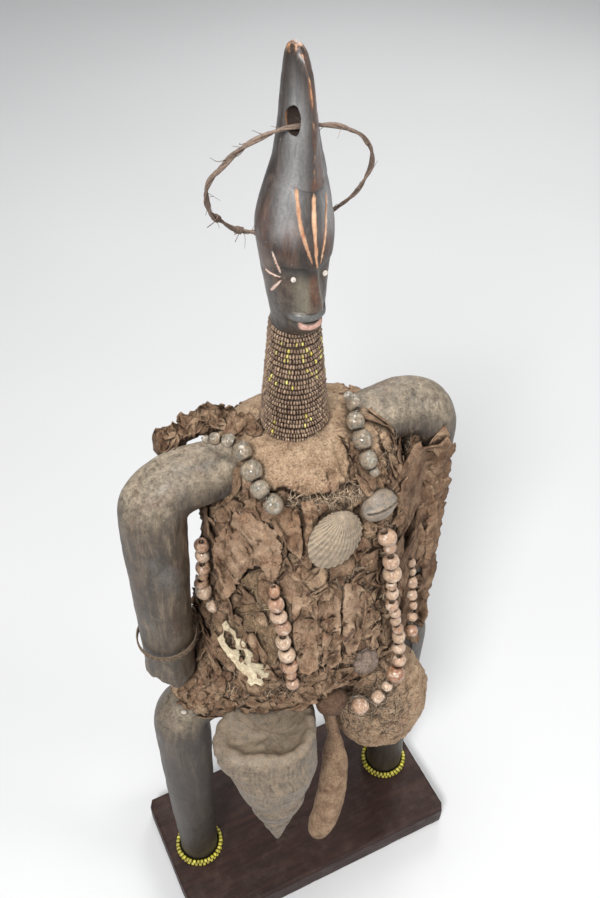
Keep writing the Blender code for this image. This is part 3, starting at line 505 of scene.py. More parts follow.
def head_wood():
    """The head's polished wood, with the painted cuts, lips and worn ridges, a painted sheen on forehead and
    crest, and painted shade under the brow and in the mouth line.
    """
    look = Look("head_wood", Coat_Weight=0.22, Coat_Roughness=0.24, Specular_IOR_Level=0.5)
    streaks = look.grain(0.0035, 7, 0.75, (1, 1, 0.16), 0.5)
    cloud = look.grain(0.022, 5, 0.6, (1, 1, 0.5), 0.6)
    grit = look.grain(0.0011, 6, 0.8)
    colour = look.ramp(streaks, (0.30, (0.010, 0.0078, 0.0068)), (0.48, (0.028, 0.020, 0.016)),
                       (0.62, (0.060, 0.043, 0.033)), (0.75, (0.120, 0.085, 0.060)))
    sheen = look.times(look.painted("sheen"), look.ramp(cloud, (0.35, 0.60), (0.62, 1.0)))
    sheen = look.times(sheen, look.ramp(streaks, (0.30, 0.55), (0.60, 1.0)))
    colour = look.mix(sheen, colour, look.ramp(grit, (0.30, (0.230, 0.228, 0.228)),
                                               (0.65, (0.400, 0.395, 0.390))))
    patchy = look.ramp(look.grain(0.0042, 6, 0.75, (1, 1, 0.35)), (0.38, 0.0), (0.60, 1.0))
    worn = look.times(look.painted("worn"), patchy)
    colour = look.mix(worn, colour, look.ramp(streaks, (0.35, (0.075, 0.024, 0.012)),
                                              (0.70, (0.210, 0.085, 0.045))))
    dust = look.ramp(look.grain(0.0040, 7, 0.8), (0.45, 0.0), (0.66, 0.75))
    colour = look.mix(look.times(look.painted("mottle"), dust), colour, (0.135, 0.108, 0.074))
    flank = look.times(look.painted("flank"), look.ramp(grit, (0.32, 0.35), (0.60, 1.0)))
    colour = look.mix(flank, colour, (0.250, 0.222, 0.160))
    # Painted shade under the brow and in the line of the mouth.
    colour = look.mix(look.painted("brow_and_mouth_shade"), colour, (0.008, 0.0065, 0.005))
    rim = look.times(look.painted("rim"), look.ramp(look.grain(0.0030, 5, 0.75, (1, 1, 0.3)), (0.46, 0.0),
                                                    (0.60, 1.0)))
    colour = look.mix(rim, colour, (0.480, 0.250, 0.130))
    raw = look.ramp(streaks, (0.34, (0.36, 0.150, 0.075)), (0.62, (0.76, 0.50, 0.32)))
    colour = look.mix(look.painted("raw"), colour, raw)
    chalk = look.ramp(streaks, (0.3, (0.55, 0.34, 0.25)), (0.7, (0.88, 0.72, 0.62)))
    colour = look.mix(look.painted("chalk"), colour, chalk)
    slate = look.ramp(grit, (0.30, (0.060, 0.062, 0.060)), (0.65, (0.190, 0.195, 0.190)))
    colour = look.mix(look.painted("slate"), colour, slate)
    pink = look.ramp(grit, (0.30, (0.30, 0.140, 0.100)), (0.65, (0.66, 0.42, 0.34)))
    colour = look.mix(look.painted("pink"), colour, pink)
    specks = look.ramp(look.cells(0.0042), (0.045, 1.0), (0.075, 0.0))
    colour = look.mix(specks, colour, (0.290, 0.240, 0.185))
    bare = look.sum(look.sum(look.painted("raw"), look.painted("chalk")), look.painted("pink"), "ADD", True)
    rough = look.ramp(look.grain(0.006, 5, 0.6), (0.3, 0.30), (0.7, 0.52))
    rough = look.mix(bare, rough, (0.75,) * 3)
    relief = ((0.00035, streaks), (0.00018, grit), (0.0006, cloud))
    return look.finish(colour, rough, relief, 0.7)


def raw_wood():
    """The crest's hole: bare light wood at its mouths, darker wood and painted shade inside."""
    look = Look("raw_wood", Roughness=0.8)
    fibre = look.grain(0.002, 5, 0.7, (0.3, 1, 1))
    colour = look.ramp(fibre, (0.3, (0.33, 0.12, 0.05)), (0.7, (0.72, 0.38, 0.20)))
    across = look.add("ShaderNodeSeparateXYZ", {0: look.where}).outputs["X"]
    deep = look.sum(across, np.interp(CREST_HOLE["height"], *zip(*CREST_LEAN)) * UNIT, "SUBTRACT")
    deep = look.sum(deep, look.times(fibre, 0.0022), "ADD")
    deep = look.sum(deep, 0.0, "ABSOLUTE")
    # Darker deeper into the hole: partly darker wood, partly painted shade inside the bore.
    inner = look.add("ShaderNodeMapRange", {"Value": deep, "From Min": 0.0065, "From Max": 0.0045}).outputs[0]
    colour = look.mix(inner, colour, (0.022, 0.010, 0.006))
    return look.finish(colour, None, ((0.0004, fibre),))


def board_wood():
    """Stained reddish-brown board."""
    look = Look("board_wood_look", Coat_Weight=0.05, Coat_Roughness=0.4, Specular_IOR_Level=0.3)
    grain = look.grain(0.004, 7, 0.7, (0.10, 1, 1), 0.5)
    cloud = look.grain(0.05, 3, 0.5)
    colour = look.ramp(grain, (0.32, (0.011, 0.0045, 0.0032)), (0.50, (0.023, 0.009, 0.0062)),
                       (0.68, (0.042, 0.017, 0.011)))
    dust = look.times(look.ramp(look.grain(0.012, 6, 0.7), (0.48, 0.0), (0.78, 0.22)),
                      look.facing_up(0.2, 0.9))
    colour = look.mix(dust, look.mix(look.ramp(cloud, (0.35, 0.0), (0.7, 0.4)), colour, (0.03, 0.014, 0.011)),
                      (0.15, 0.105, 0.08))
    rough = look.ramp(look.grain(0.01, 5), (0.3, 0.48), (0.7, 0.68))
    return look.finish(colour, rough, ((0.0003, grain),), 0.6)


def dusty_clay():
    """Dried earth: dark with painted shade in its pits, dusty tan with a painted highlight on what stands
    out.
    """
    look = Look("dusty_clay_look", Specular_IOR_Level=0.25)
    lumps = look.grain(0.010, 7, 0.7)
    grit = look.grain(0.0010, 6, 0.8)
    crumb = look.grain(0.0034, 6, 0.75, bend=0.5)
    colour = look.ramp(lumps, (0.34, (0.150, 0.082, 0.044)), (0.46, (0.320, 0.195, 0.112)),
                       (0.60, (0.540, 0.375, 0.235)))
    pink = look.ramp(look.grain(0.024, 4, 0.6), (0.48, 0.0), (0.62, 0.55))
    colour = look.mix(pink, colour, (0.470, 0.270, 0.175))
    colour = look.mix(look.painted("smooth"), colour,
                      look.ramp(lumps, (0.34, (0.350, 0.220, 0.130)), (0.62, (0.600, 0.430, 0.280))))
    pouch = look.ramp(look.grain(0.005, 6, 0.7, (1, 1, 0.5)), (0.35, (0.120, 0.072, 0.036)),
                      (0.62, (0.330, 0.215, 0.118)))
    colour = look.mix(look.painted("pouch"), colour, pouch)
    dark = look.ramp(crumb, (0.54, 0.0), (0.64, 0.85))
    colour = look.mix(look.times(dark, look.sum(1.0, look.times(look.painted("smooth"), 0.6), "SUBTRACT")),
                      colour, (0.055, 0.030, 0.018))
    # Dark in the dips of the fine grit and pale on its rises: partly dust, partly painted shade and painted
    # highlight.
    colour = look.mix(look.ramp(grit, (0.36, 0.85), (0.48, 0.0)), colour, (0.060, 0.034, 0.021))
    colour = look.mix(look.ramp(grit, (0.54, 0.0), (0.66, 0.75)), colour, (0.760, 0.590, 0.410))
    # Painted shade in the pits and gaps of the clay.
    colour = look.mix(look.painted("pit_shade"), colour, (0.020, 0.011, 0.007))
    relief = ((0.0009, lumps), (0.0009, grit), (0.0014, crumb))
    return look.finish(look.painted_hollow_shade(colour, (0.022, 0.012, 0.007), 0.005),
                       look.ramp(grit, (0.3, 0.82), (0.7, 0.98)), relief)


def hide(name, low, high, dust):
    """Stiff old leather, fibrous and caked with dust; tone makes a scrap paler."""
    look = Look(name, Specular_IOR_Level=0.25)
    fibre = look.grain(0.0024, 7, 0.8, (1, 1, 0.35), 0.8)
    grit = look.grain(0.0009, 6, 0.8)
    colour = look.ramp(fibre, (0.34, low), (0.62, high))
    caked = look.times(look.ramp(look.grain(0.008, 6, 0.7), (0.40, 0.0), (0.62, 0.9)),
                       look.sum(look.painted("tone"), 0.35), True)
    colour = look.mix(caked, colour, dust)
    colour = look.mix(look.ramp(grit, (0.34, 0.8), (0.48, 0.0)), colour, tuple(0.4 * v for v in low))
    colour = look.mix(look.ramp(grit, (0.58, 0.0), (0.72, 0.5)), colour,
                      tuple(min(1.0, 1.5 * v) for v in dust))
    relief = ((0.0012, fibre), (0.0007, grit))
    return look.finish(look.painted_hollow_shade(colour, tuple(0.25 * v for v in low)),
                       look.ramp(grit, (0.3, 0.80), (0.7, 0.98)), relief)


def shell_look(name, low, high, dust, gloss=0.5, bands=False):
    """Weathered shell under dust."""
    look = Look(name, Specular_IOR_Level=0.5, Coat_Weight=0.08, Coat_Roughness=0.3)
    cloud = look.grain(0.006, 6, 0.65)
    grit = look.grain(0.0009, 6, 0.8)
    colour = look.ramp(cloud, (0.34, low), (0.62, high))
    if bands:
        colour = look.mix(look.painted("tone"), colour, (0.400, 0.320, 0.225))
    colour = look.mix(look.ramp(look.grain(0.004, 7, 0.75), (0.44, 0.0), (0.62, 0.85)), colour, dust)
    colour = look.mix(look.ramp(grit, (0.36, 0.7), (0.48, 0.0)), colour, tuple(0.3 * v for v in low))
    rough = look.ramp(cloud, (0.3, gloss - 0.12), (0.7, gloss + 0.25))
    dark = tuple(0.2 * v for v in low)
    return look.finish(look.painted_hollow_shade(colour, dark, 0.004), rough, ((0.0006, grit), (0.0006, cloud)), 0.9)


def bead_look(name, low, high, gloss, glass=0.0, dust=(0.300, 0.210, 0.140), dusty=0.75):
    """Trade beads, each with a tone of its own, dusty in patches, with painted shade where they lie deep."""
    look = Look(name, Coat_Weight=0.5, Coat_Roughness=0.08, Transmission_Weight=glass, Specular_IOR_Level=0.6)
    colour = look.mix(look.painted("tone"), low, high)
    swirl = look.grain(0.0028, 5, 0.7, bend=1.8)
    colour = look.mix(look.ramp(swirl, (0.42, 0.0), (0.58, 0.65)), colour, tuple(0.45 * v for v in low))
    colour = look.mix(look.ramp(look.grain(0.0030, 4, 0.6), (0.54, 0.0), (0.66, 0.75)), colour,
                      (0.880, 0.780, 0.640))
    crust = look.ramp(look.grain(0.0040, 7, 0.78), (0.42, 0.0), (0.56, dusty))
    colour = look.mix(crust, colour, dust)
    rough = look.mix(crust, (gloss,) * 3, (0.85,) * 3)
    relief = ((0.0006, look.grain(0.0013, 5, 0.7)), (0.0004, crust))
    return look.finish(look.painted_hollow_shade(colour, (0.045, 0.026, 0.017), 0.004), rough, relief, 0.8)


def seed_look(name, tones, dust_share):
    """Seed beads: tone picks the colour of each bead."""
    look = Look(name, Coat_Weight=0.25, Coat_Roughness=0.2)
    colour = look.ramp(look.painted("tone"), *tones)
    crust = look.ramp(look.grain(0.0035, 6, 0.7), (0.40, 0.0), (0.60, dust_share))
    colour = look.mix(crust, colour, (0.270, 0.185, 0.120))
    rough = look.mix(crust, (0.34,) * 3, (0.9,) * 3)
    return look.finish(look.painted_hollow_shade(colour, (0.020, 0.012, 0.008), 0.002), rough,
                       ((0.00015, look.grain(0.0006, 3)),), 0.7)


def fibre_look(name, low, high):
    """Plant fibre and cord: tone runs from dark to pale."""
    look = Look(name, Roughness=0.85, Specular_IOR_Level=0.3)
    colour = look.mix(look.painted("tone"), low, high)
    strand = look.grain(0.0012, 4, 0.7)
    colour = look.mix(look.ramp(strand, (0.35, 0.5), (0.55, 0.0)), colour, tuple(0.4 * v for v in low))
    return look.finish(colour, None, ((0.0002, strand),))


# Head

FACE_LOW, FACE_HIGH = 478, 516
FOREHEAD_CUTS = (
    ((295.7, 187), (312, 263), 1.9), ((313.7, 194), (317.3, 268.5), 2.3), ((326, 191), (320.3, 265), 1.7))
CHEEK_CUTS = (
    ((272.4, 252.6), (280.7, 273.3), 1.4), ((264.8, 269), (280.7, 276.8), 1.4),
    ((270.7, 290.7), (281.3, 280.6), 1.4))
EYES = ((294.3, 280), (324.5, 273))


def head_sizes(heights):
    """Half width, front, back and pointedness at heights, the table's corners softened."""
    step, reach = 0.25, 20
    fine = np.arange(HEAD[0, 0], HEAD[-1, 0] + step / 2, step)
    weights = bell(np.arange(-reach, reach + 1) * step, 1.6)
    sizes = []
    for i in (1, 2, 3, 4):
        column = np.pad(np.interp(fine, HEAD[:, 0], HEAD[:, i]), reach, mode="edge")
        soft = np.convolve(column, weights / weights.sum(), "valid")
        tip = smoothstep(594, 599, fine)
        soft = soft * (1 - tip) + np.interp(fine, HEAD[:, 0], HEAD[:, i]) * tip
        sizes.append(np.interp(heights, fine, soft))
    return sizes


def ridge_side(height):
    """Angle off the front, in degrees, at which the flat ridge of the nose ends."""
    return np.interp(height, (494, 515), (8.5, 4.0))


def face_relief(height, turn):
    """How far the face stands out from the plain head, at heights and angles in degrees off the front."""
    side = np.abs(turn)
    ridge = np.interp(height, (493.5, 494.3, 496, 499, 507, 515.5, 518), (0, 4.5, 4.8, 4.4, 3.3, 0.6, 0))
    flat = ridge_side(height)
    fall = np.interp(height, (494, 515), (19, 11))
    nose = ridge * smoothstep(1, 0, (side - flat) / fall)
    recess = np.interp(height, (494, 503, 510, 513.4, 514.6), (0, 1.0, 2.0, 2.0, 0))
    socket = -recess * bell(side - 30, 20)
    socket -= 0.7 * bell(side - 30, 9) * bell(height - 506.5, 2.6)
    upper = 1.7 * np.clip(1 - ((height - 489.0) / 2.7) ** 2, 0, 1) ** 0.7 * smoothstep(50, 28, side)
    lower = 1.4 * np.clip(1 - ((height - 484.0) / 2.5) ** 2, 0, 1) ** 0.7 * smoothstep(40, 20, side)
    mouth = -0.9 * bell(height - 486.5, 0.7) * smoothstep(44, 30, side)
    step = np.interp(height, (CREST_STEP_HEIGHT, 590, 600), (CREST_STEP, CREST_STEP, 0.3))
    step = step * smoothstep(-0.3, 0.3, height - CREST_STEP_HEIGHT - 1.2 * (side / 40) ** 2)
    step = step * smoothstep(52, 30, side)
    return nose + socket + upper + lower + mouth + step


def head_points(height, turn):
    """Places on the carved head, in metres, before its cuts."""
    half, front, back, share = head_sizes(height)
    angle = np.radians(turn)
    out = face_relief(height, turn)
    lean = np.interp(height, *zip(*CREST_LEAN))
    ahead = np.maximum(0, np.cos(angle))
    x = half * np.sin(angle) * (1 - share * ahead) + out * np.sin(angle) + lean
    edge = 0.42 * smoothstep(541, 556, height) * smoothstep(602, 592, height)
    sharp = edge * (1 - np.abs(np.sin(angle))) + (1 - edge) * np.cos(angle)
    keel = np.where(np.abs(turn) < 90, sharp, np.cos(angle))
    y = -(np.where(np.abs(turn) < 90, front, back) + out) * keel
    c, s = math.cos(HEAD_TURN), math.sin(HEAD_TURN)
    return world(np.stack([c * x - s * y, s * x + c * y, height], axis=-1))


def wood_head():
    """Face and tall crest, carved and drilled; returns the function that finds a pixel's place on it."""
    columns = 208
    heights = np.concatenate([np.arange(468, FACE_LOW, 0.7), np.arange(FACE_LOW, FACE_HIGH, 0.34),
                              np.arange(FACE_HIGH, 545, 0.68), np.arange(545, 549, 0.28),
                              np.linspace(549, 600, 70)])
    even = np.linspace(-1, 1, columns, endpoint=False)
    turns = 180 * even * (0.58 + 0.42 * even ** 2)
    height, turn = (part.ravel() for part in np.meshgrid(heights, turns, indexing="ij"))
    points = head_points(height, turn)
    grid = points.reshape(len(heights), columns, 3)
    normals = grid_normals(grid).reshape(-1, 3)
    side = np.abs(turn)
    skin = BVHTree.FromPolygons(points.tolist(), grid_faces(len(heights), columns))

    def spot(pixel):
        hit = skin.ray_cast(Vector(EYE), sight(pixel))[0]
        best = np.linalg.norm(points - np.array(hit), axis=1).argmin()
        return turn[best], height[best]

    def cut(start, stop, width):
        share = np.linspace(0, 1, 14)
        route = head_points(start[1] + (stop[1] - start[1]) * share, start[0] + (stop[0] - start[0]) * share)
        far, along = line_distance(route, points)
        half = 0.5 * width * MM * np.interp(along, (0, 0.06, 0.35, 0.8, 1.0), (0.25, 0.85, 1.0, 0.75, 0.3))
        half = half * (1 + 0.15 * noise(points, 0.003, 5, 2))
        return np.clip(1 - (far / half) ** 2, 0, 1)

    raw, chalk = np.zeros(len(points)), np.zeros(len(points))
    for start, stop, width in FOREHEAD_CUTS:
        raw = np.maximum(raw, cut(spot(start), spot(stop), width))
    for start, stop, width in CHEEK_CUTS:
        first, last = spot(start), spot(stop)
        for hand in (1, -1):
            chalk = np.maximum(chalk, cut((first[0] * hand, first[1]), (last[0] * hand, last[1]), width))
    relief = 0.16 * noise(points, 0.010, 1, 3) + 0.05 * noise(points * (1, 1, 0.3), 0.0022, 2, 2)
    relief += np.where(height > CREST_STEP_HEIGHT, 0.15, 0.0) * noise(points * (1, 1, 0.4), 0.006, 9, 2)
    relief = relief - 0.85 * raw - 0.6 * chalk
    fade = smoothstep(599, 594, height)
    points = points + normals * (relief * fade)[:, None] * MM

    arch = 0.0016 * side ** 2
    lip = smoothstep(0.5, 1.1, 2.0 - np.abs(height - 484.1 - arch)) * smoothstep(30, 23, side)
    upper = 0.75 * smoothstep(0.1, 1.0, 2.5 - np.abs(height - 489.1)) * smoothstep(46, 36, side)
    flat = ridge_side(height)
    flank = smoothstep(flat - 2, flat + 6, side) * smoothstep(flat + 32, flat + 8, side)
    flank *= smoothstep(489.5, 494, height) * smoothstep(516, 503, height)
    worn = 0.9 * smoothstep(flat + 8, flat - 3, side)
    worn = worn * smoothstep(492, 496, height) * smoothstep(520, 510, height)
    ridge = np.where(turn > -3, smoothstep(62, 30, side), smoothstep(10, 3, side))
    worn = np.maximum(worn, 0.85 * ridge * smoothstep(546.8, 547.6, height))
    worn = np.maximum(worn, 0.8 * bell(side - 82, 22) * bell(height - 522, 17))
    worn = np.maximum(worn, 0.65 * bell(side - 35, 22) * bell(height - 524, 9))
    worn = np.maximum(worn, 0.55 * bell(side - 60, 22) * bell(height - 508, 9))
    sheen = bell(side - 42, 26) * smoothstep(521, 531, height) * smoothstep(600, 570, height)
    # Painted shade in the band under the brow ridge and in the line between the lips.
    brow_and_mouth_shade = bell(height - 513, 3.4) * smoothstep(64, 42, side) * 0.85
    brow_and_mouth_shade = np.maximum(brow_and_mouth_shade, 0.9 * bell(height - 486.5, 0.8) * smoothstep(46, 32, side))
    mottle = smoothstep(524, 512, height) * smoothstep(478, 486, height)
    rim = bell(side, 2.6) * smoothstep(549, 553, height) + smoothstep(596.5, 599, height)
    tones = dict(mottle=mottle, rim=np.clip(rim, 0, 1), raw=smoothstep(0.10, 0.32, raw),
                 chalk=smoothstep(0.10, 0.32, chalk), pink=lip, slate=upper, flank=0.75 * flank, worn=worn,
                 sheen=sheen, brow_and_mouth_shade=brow_and_mouth_shade)
    corners, faces = closed_grid(points.reshape(len(heights), columns, 3))
    tones = {tone: np.append(values, (0.0, 0.0)) for tone, values in tones.items()}
    made = piece("head_carving", corners, faces, head_wood(), ["wood_figure"], tones)
    drill_crest(made)
    return spot


def drill_crest(head):
    """Bores the oval hole sideways through the crest, its walls bare wood."""
    turn = np.linspace(0, math.tau, 40, endpoint=False)
    wobble = 1 + 0.04 * np.sin(turn * 3 + 1)
    rings = [[(x * MM, 0.5 * CREST_HOLE["width"] * math.cos(t) * w,
               0.5 * CREST_HOLE["tall"] * math.sin(t) * w)
              for t, w in zip(turn, wobble)] for x in np.linspace(-25, 25, 41)]
    rings = np.array(rings)
    rings[..., 1:] += 0.00015 * noise(rings.reshape(-1, 3), 0.0012, 4, 2).reshape(*rings.shape[:2], 1)
    c, s = math.cos(HEAD_TURN), math.sin(HEAD_TURN)
    rings = rings @ np.array(((c, s, 0), (-s, c, 0), (0, 0, 1)))
    setback = np.array((-s * CREST_HOLE["setback"], c * CREST_HOLE["setback"], CREST_HOLE["height"]))
    corners, faces = closed_grid(rings + world(setback))
    mesh = bpy.data.meshes.new("crest_drill")
    mesh.from_pydata(corners.tolist(), [], faces)
    mesh.materials.append(raw_wood())
    drill = linked("crest_drill", mesh)
    bored = head.modifiers.new("bore", "BOOLEAN")
    bored.solver = "EXACT"
    bored.object = drill
    bored.material_mode = "TRANSFER"
    apply_modifiers(head)
    bpy.data.objects.remove(drill)


def apply_modifiers(made):
    """Replaces a piece's mesh by its evaluated one."""
    bpy.context.view_layer.update()
    graph = bpy.context.evaluated_depsgraph_get()
    mesh = bpy.data.meshes.new_from_object(made.evaluated_get(graph), depsgraph=graph)
    made.modifiers.clear()
    old, made.data = made.data, mesh
    bpy.data.meshes.remove(old)


def eye_inlays(spot):
    """The two small white eyes, set in the sockets."""
    heap = Heap()
    profile = [(0.05, 0.60), (0.85, 0.5), (1.35, 0.1), (1.4, -0.5), (0.05, -0.5)]
    for pixel in EYES:
        turn, height = spot(pixel)
        around = np.array(((turn, height), (turn + 2, height), (turn, height + 0.5)))
        at, beside, above = head_points(around[:, 1], around[:, 0])
        out = np.cross(beside - at, above - at)
        points, faces = lathe(np.array(profile) * MM, 20)
        heap.add(oriented(points, at + out / np.linalg.norm(out) * 0.1 * MM, out), faces)
    look = Look("eye_shell", Roughness=0.35)
    look = look.finish(look.ramp(look.grain(0.0008), (0.3, (0.62, 0.52, 0.43)), (0.7, (0.90, 0.85, 0.78))))
    return heap.piece("eye_inlays", look, "cream_shard")


# Body

def limb(sizes, steps=14):
    """Points and faces of a pair of limbs with the bar that joins them."""
    start, low = sizes["span"] - BEND_RADIUS, sizes["bar"] - BEND_RADIUS
    radii = sizes["radii"]
    side = []
    for share in np.linspace(0, 1, steps):
        turn = math.radians(90 * share)
        side.append((start + BEND_RADIUS * math.sin(turn), sizes["bar"] - BEND_RADIUS * (1 - math.cos(turn)),
                     np.interp(share * 3, (0, 1, 2, 3), radii[:4])))
    for share in np.linspace(0, 1, 3 * steps)[1:]:
        side.append((sizes["span"] + sizes["spread"] * share, low + (sizes["end"] - low) * share,
                     np.interp(share, (0, 0.5, 1), radii[3:])))
    for share in np.linspace(0, 1, steps)[1:]:
        side.insert(0, (start * (1 - share), sizes["bar"] - BAR_DROOP * share,
                        radii[0] * (1 - share) + BAR_RADIUS * share))
    route = [(-x, 0, z) for x, z, _ in reversed(side)] + [(x, 0, z) for x, z, _ in side[1:]]
    thick = [radius for *_, radius in reversed(side)] + [radius for *_, radius in side[1:]]
    return tube(world(route), np.array(thick) * UNIT, sides=44)


def trunk():
    """Trunk and neck as stacked ovals."""
    turn = np.linspace(0, math.tau, 56, endpoint=False)
    table = np.array((*TRUNK, (410, 15.9, 15.9, 15.9), (474, 10.3, 10.3, 10.3)))
    rings = []
    for height in np.arange(190, 474.5, 4):
        half, front, back = (np.interp(height, table[:, 0], table[:, i]) for i in (1, 2, 3))
        depth = np.where(np.sin(turn) < 0, front, back)
        rings.append(np.stack([half * np.cos(turn), depth * np.sin(turn), np.full(len(turn), height)],
                              axis=1))
    return closed_grid(world(np.array(rings)))


def vertex_rows(values, key):
    """Three numbers for each vertex, one row each."""
    flat = np.empty(len(values) * 3)
    values.foreach_get(key, flat)
    return flat.reshape(-1, 3)


def body_carving():
    """Trunk, arms and legs as one surface, with tool marks, dents and the broken arm end."""
    heap = Heap()
    for shape in (limb(ARMS), limb(LEGS), trunk()):
        heap.add(*shape)
    made = heap.piece("body_carving", carved_wood(), "dark_wood", ["wood_figure"])
    remesh = made.modifiers.new("remesh", "REMESH")
    remesh.mode = "VOXEL"
    remesh.voxel_size = 0.0021
    soften = made.modifiers.new("soften", "SMOOTH")
    soften.factor, soften.iterations = 0.6, 6
    apply_modifiers(made)
    mesh = made.data
    points = vertex_rows(mesh.vertices, "co")
    normals = vertex_rows(mesh.vertex_normals, "vector")
    high = (points - FOOT)[:, 2] / UNIT
    facets = pebbles(points * (1, 1, 0.45), 0.013, 21)[0]
    relief = 0.55 * noise(points, 0.028, 11, 2) + 0.35 * (0.5 - facets)
    relief += 0.10 * noise(points * (1, 1, 0.2), 0.004, 12, 3)
    relief += 0.10 * noise(points, 0.0035, 13, 2)
    pits = np.clip(0.28 - pebbles(points, 0.008, 33)[0], 0, 1)
    relief -= 1.6 * pits * (noise(points, 0.03, 8, 2) > 0.1)
    sole = smoothstep(2, 9, high)
    points = points + normals * (relief * sole)[:, None] * MM
    stump = (points[:, 0] < -0.055) & (high > 225) & (high < 262)
    share = smoothstep(ARMS["end"] + 15, ARMS["end"] + 1, high) * stump
    across = (points[:, 0] / UNIT + ARMS["span"] + ARMS["spread"]) / ARMS["radii"][-1]
    jag = 6.5 * smoothstep(-0.1, -0.35, across) + 3.2 * noise(points * (1, 1, 0.05), 0.006, 3, 3)
    jag += 2.2 * smoothstep(0.35, 0.6, across) + 1.0
    points[:, 2] += share * np.clip(jag, 0, 12) * UNIT
    mesh.vertices.foreach_set("co", points.ravel())
    mesh.shade_smooth()
    mesh.update()
    return made


def display_board():
    """The stained board, its edges rounded and a little knocked."""
    low, high = (np.array(corner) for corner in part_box("display_board"))
    radius = 0.0024
    half = (high - low) / 2
    centre = (high + low) / 2
    corners = []
    turn = np.linspace(0, math.tau, 240, endpoint=False)
    sizes = half[:2] - radius
    rim = []
    for t in turn:
        c, s = math.cos(t), math.sin(t)
        reach = 1 / max(abs(c) / sizes[0], abs(s) / sizes[1])
        rim.append((c * reach, s * reach))
    rim = np.array(rim)
    edge = np.stack([np.abs(rim[:, 0]) > sizes[0] - 1e-6, np.abs(rim[:, 1]) > sizes[1] - 1e-6], axis=1)
    outward = np.sign(rim) * edge
    outward /= np.linalg.norm(outward, axis=1, keepdims=True)

    def rounded(level, low, high):
        return [(level + radius * math.sin(t), 1.0, radius * math.cos(t))
                for t in map(math.radians, np.linspace(low, high, 6))]

    levels = [(-half[2], share, 0.0) for share in (0.04, 0.5, 0.96)]
    levels += rounded(-half[2] + radius, -90, 0)
    for share in np.linspace(0.1, 0.9, 6):
        levels.append((-half[2] + radius + (2 * half[2] - 2 * radius) * share, 1.0, radius))
    levels += rounded(half[2] - radius, 0, 90)
    levels += [(half[2], share, 0.0) for share in np.linspace(0.96, 0.04, 14)]
    for height, share, out in levels:
        ring = rim * share + outward * out
        corners.append(np.column_stack([ring, np.full(len(ring), height)]))
    points = np.array(corners)
    flat = points.reshape(-1, 3)
    knocks = 0.00022 * np.minimum(noise(flat, 0.014, 6, 3) + 0.2, 0)
    flat = flat * (1 + knocks[:, None] / 0.05 * np.array((1, 1, 0)))
    corners, faces = closed_grid(flat.reshape(points.shape) + centre)
    return piece("board", corners, faces, board_wood(), ["display_board"])


# Beads and cord

def seed_bead(size, hole, sides=9):
    """A small rounded ring bead lying round Z, centred."""
    ring = [(0.5 * size, 0.0), (0.44 * size, 0.30 * size), (0.5 * hole + 0.12 * size, 0.38 * size),
            (0.5 * hole, 0.0), (0.5 * hole + 0.12 * size, -0.38 * size), (0.44 * size, -0.30 * size)]
    return lathe(ring, sides)


def disc_bead(size, thick):
    """A flat little bead, bored, lying round Z."""
    return lathe([(0.5 * size, 0.22 * thick), (0.26 * size, 0.5 * thick), (0.12 * size, 0.0),
                  (0.26 * size, -0.5 * thick), (0.5 * size, -0.22 * thick)], 6)


def wrap_radius(height):
    """Radius of the neck wrap at a height."""
    return np.interp(height, (WRAP_LOW, WRAP_HIGH), (WRAP_WIDE, WRAP_NARROW))


def neck_beads():
    """Some two dozen rows of seed beads wound round the neck, on their dark sleeve."""
    draw = np.random.default_rng(7)
    heap = Heap()
    pitch, spacing, inset = 2.8, 1.32, 1.35
    rows = int((WRAP_HIGH - WRAP_LOW) / pitch)
    for row in range(rows):
        height = WRAP_LOW + 1.6 + (WRAP_HIGH - WRAP_LOW - 3.0) * row / (rows - 1)
        radius = wrap_radius(height) - inset
        count = int(math.tau * radius / spacing)
        phase, tilt = draw.uniform(0, 1), draw.normal(0, 0.25, 2)
        for i in range(count):
            turn = math.tau * (i + phase + draw.normal(0, 0.05)) / count
            points, faces = disc_bead(draw.normal(2.62, 0.14) * MM, draw.uniform(1.15, 1.5) * MM)
            along = (-math.sin(turn) + draw.normal(0, 0.07), math.cos(turn), draw.normal(0, 0.08))
            lift = height + tilt[0] * math.cos(turn) + tilt[1] * math.sin(turn) + draw.normal(0, 0.07)
            out = radius + draw.normal(0, 0.11)
            at = world((out * math.cos(turn), out * math.sin(turn), lift))
            share = (height - WRAP_LOW) / (WRAP_HIGH - WRAP_LOW)
            band = bell(share - 0.76, 0.17) * (0.25 + 0.75 * math.sin(row * 1.7) ** 2) * bell(turn - 5.3, 1.6)
            yellow = draw.random() < 0.025 + 0.42 * band
            tone = draw.uniform(0.86, 1.0) if yellow else draw.uniform(0.0, 0.78)
            heap.add(oriented(points, at, along), faces, tone)
    tones = ((0.0, (0.090, 0.050, 0.032)), (0.35, (0.210, 0.125, 0.080)), (0.72, (0.400, 0.270, 0.175)),
             (0.80, (0.470, 0.330, 0.210)), (0.85, (0.600, 0.480, 0.050)), (1.0, (0.820, 0.740, 0.220)))
    heap.piece("neck_beads", seed_look("neck_bead_look", tones, 0.75), "dusty_seed_beads", ["neck_bead_wrap"])
    rings = []
    turn = np.linspace(0, math.tau, 48, endpoint=False)
    for height, inset in ((WRAP_LOW + 0.4, 2.6), (WRAP_LOW + 0.5, 1.7), (WRAP_HIGH - 0.6, 1.7),
                          (WRAP_HIGH - 0.4, 2.6)):
        radius = wrap_radius(height) - inset
        rings.append(world(np.stack([radius * np.cos(turn), radius * np.sin(turn), np.full(48, height)],
                                    axis=1)))
    corners, faces = closed_grid(np.array(rings))
    look = fibre_look("neck_thread", (0.030, 0.020, 0.015), (0.090, 0.060, 0.045))
    piece("neck_sleeve", corners, faces, look, tones={"tone": np.full(len(corners), 0.3)})


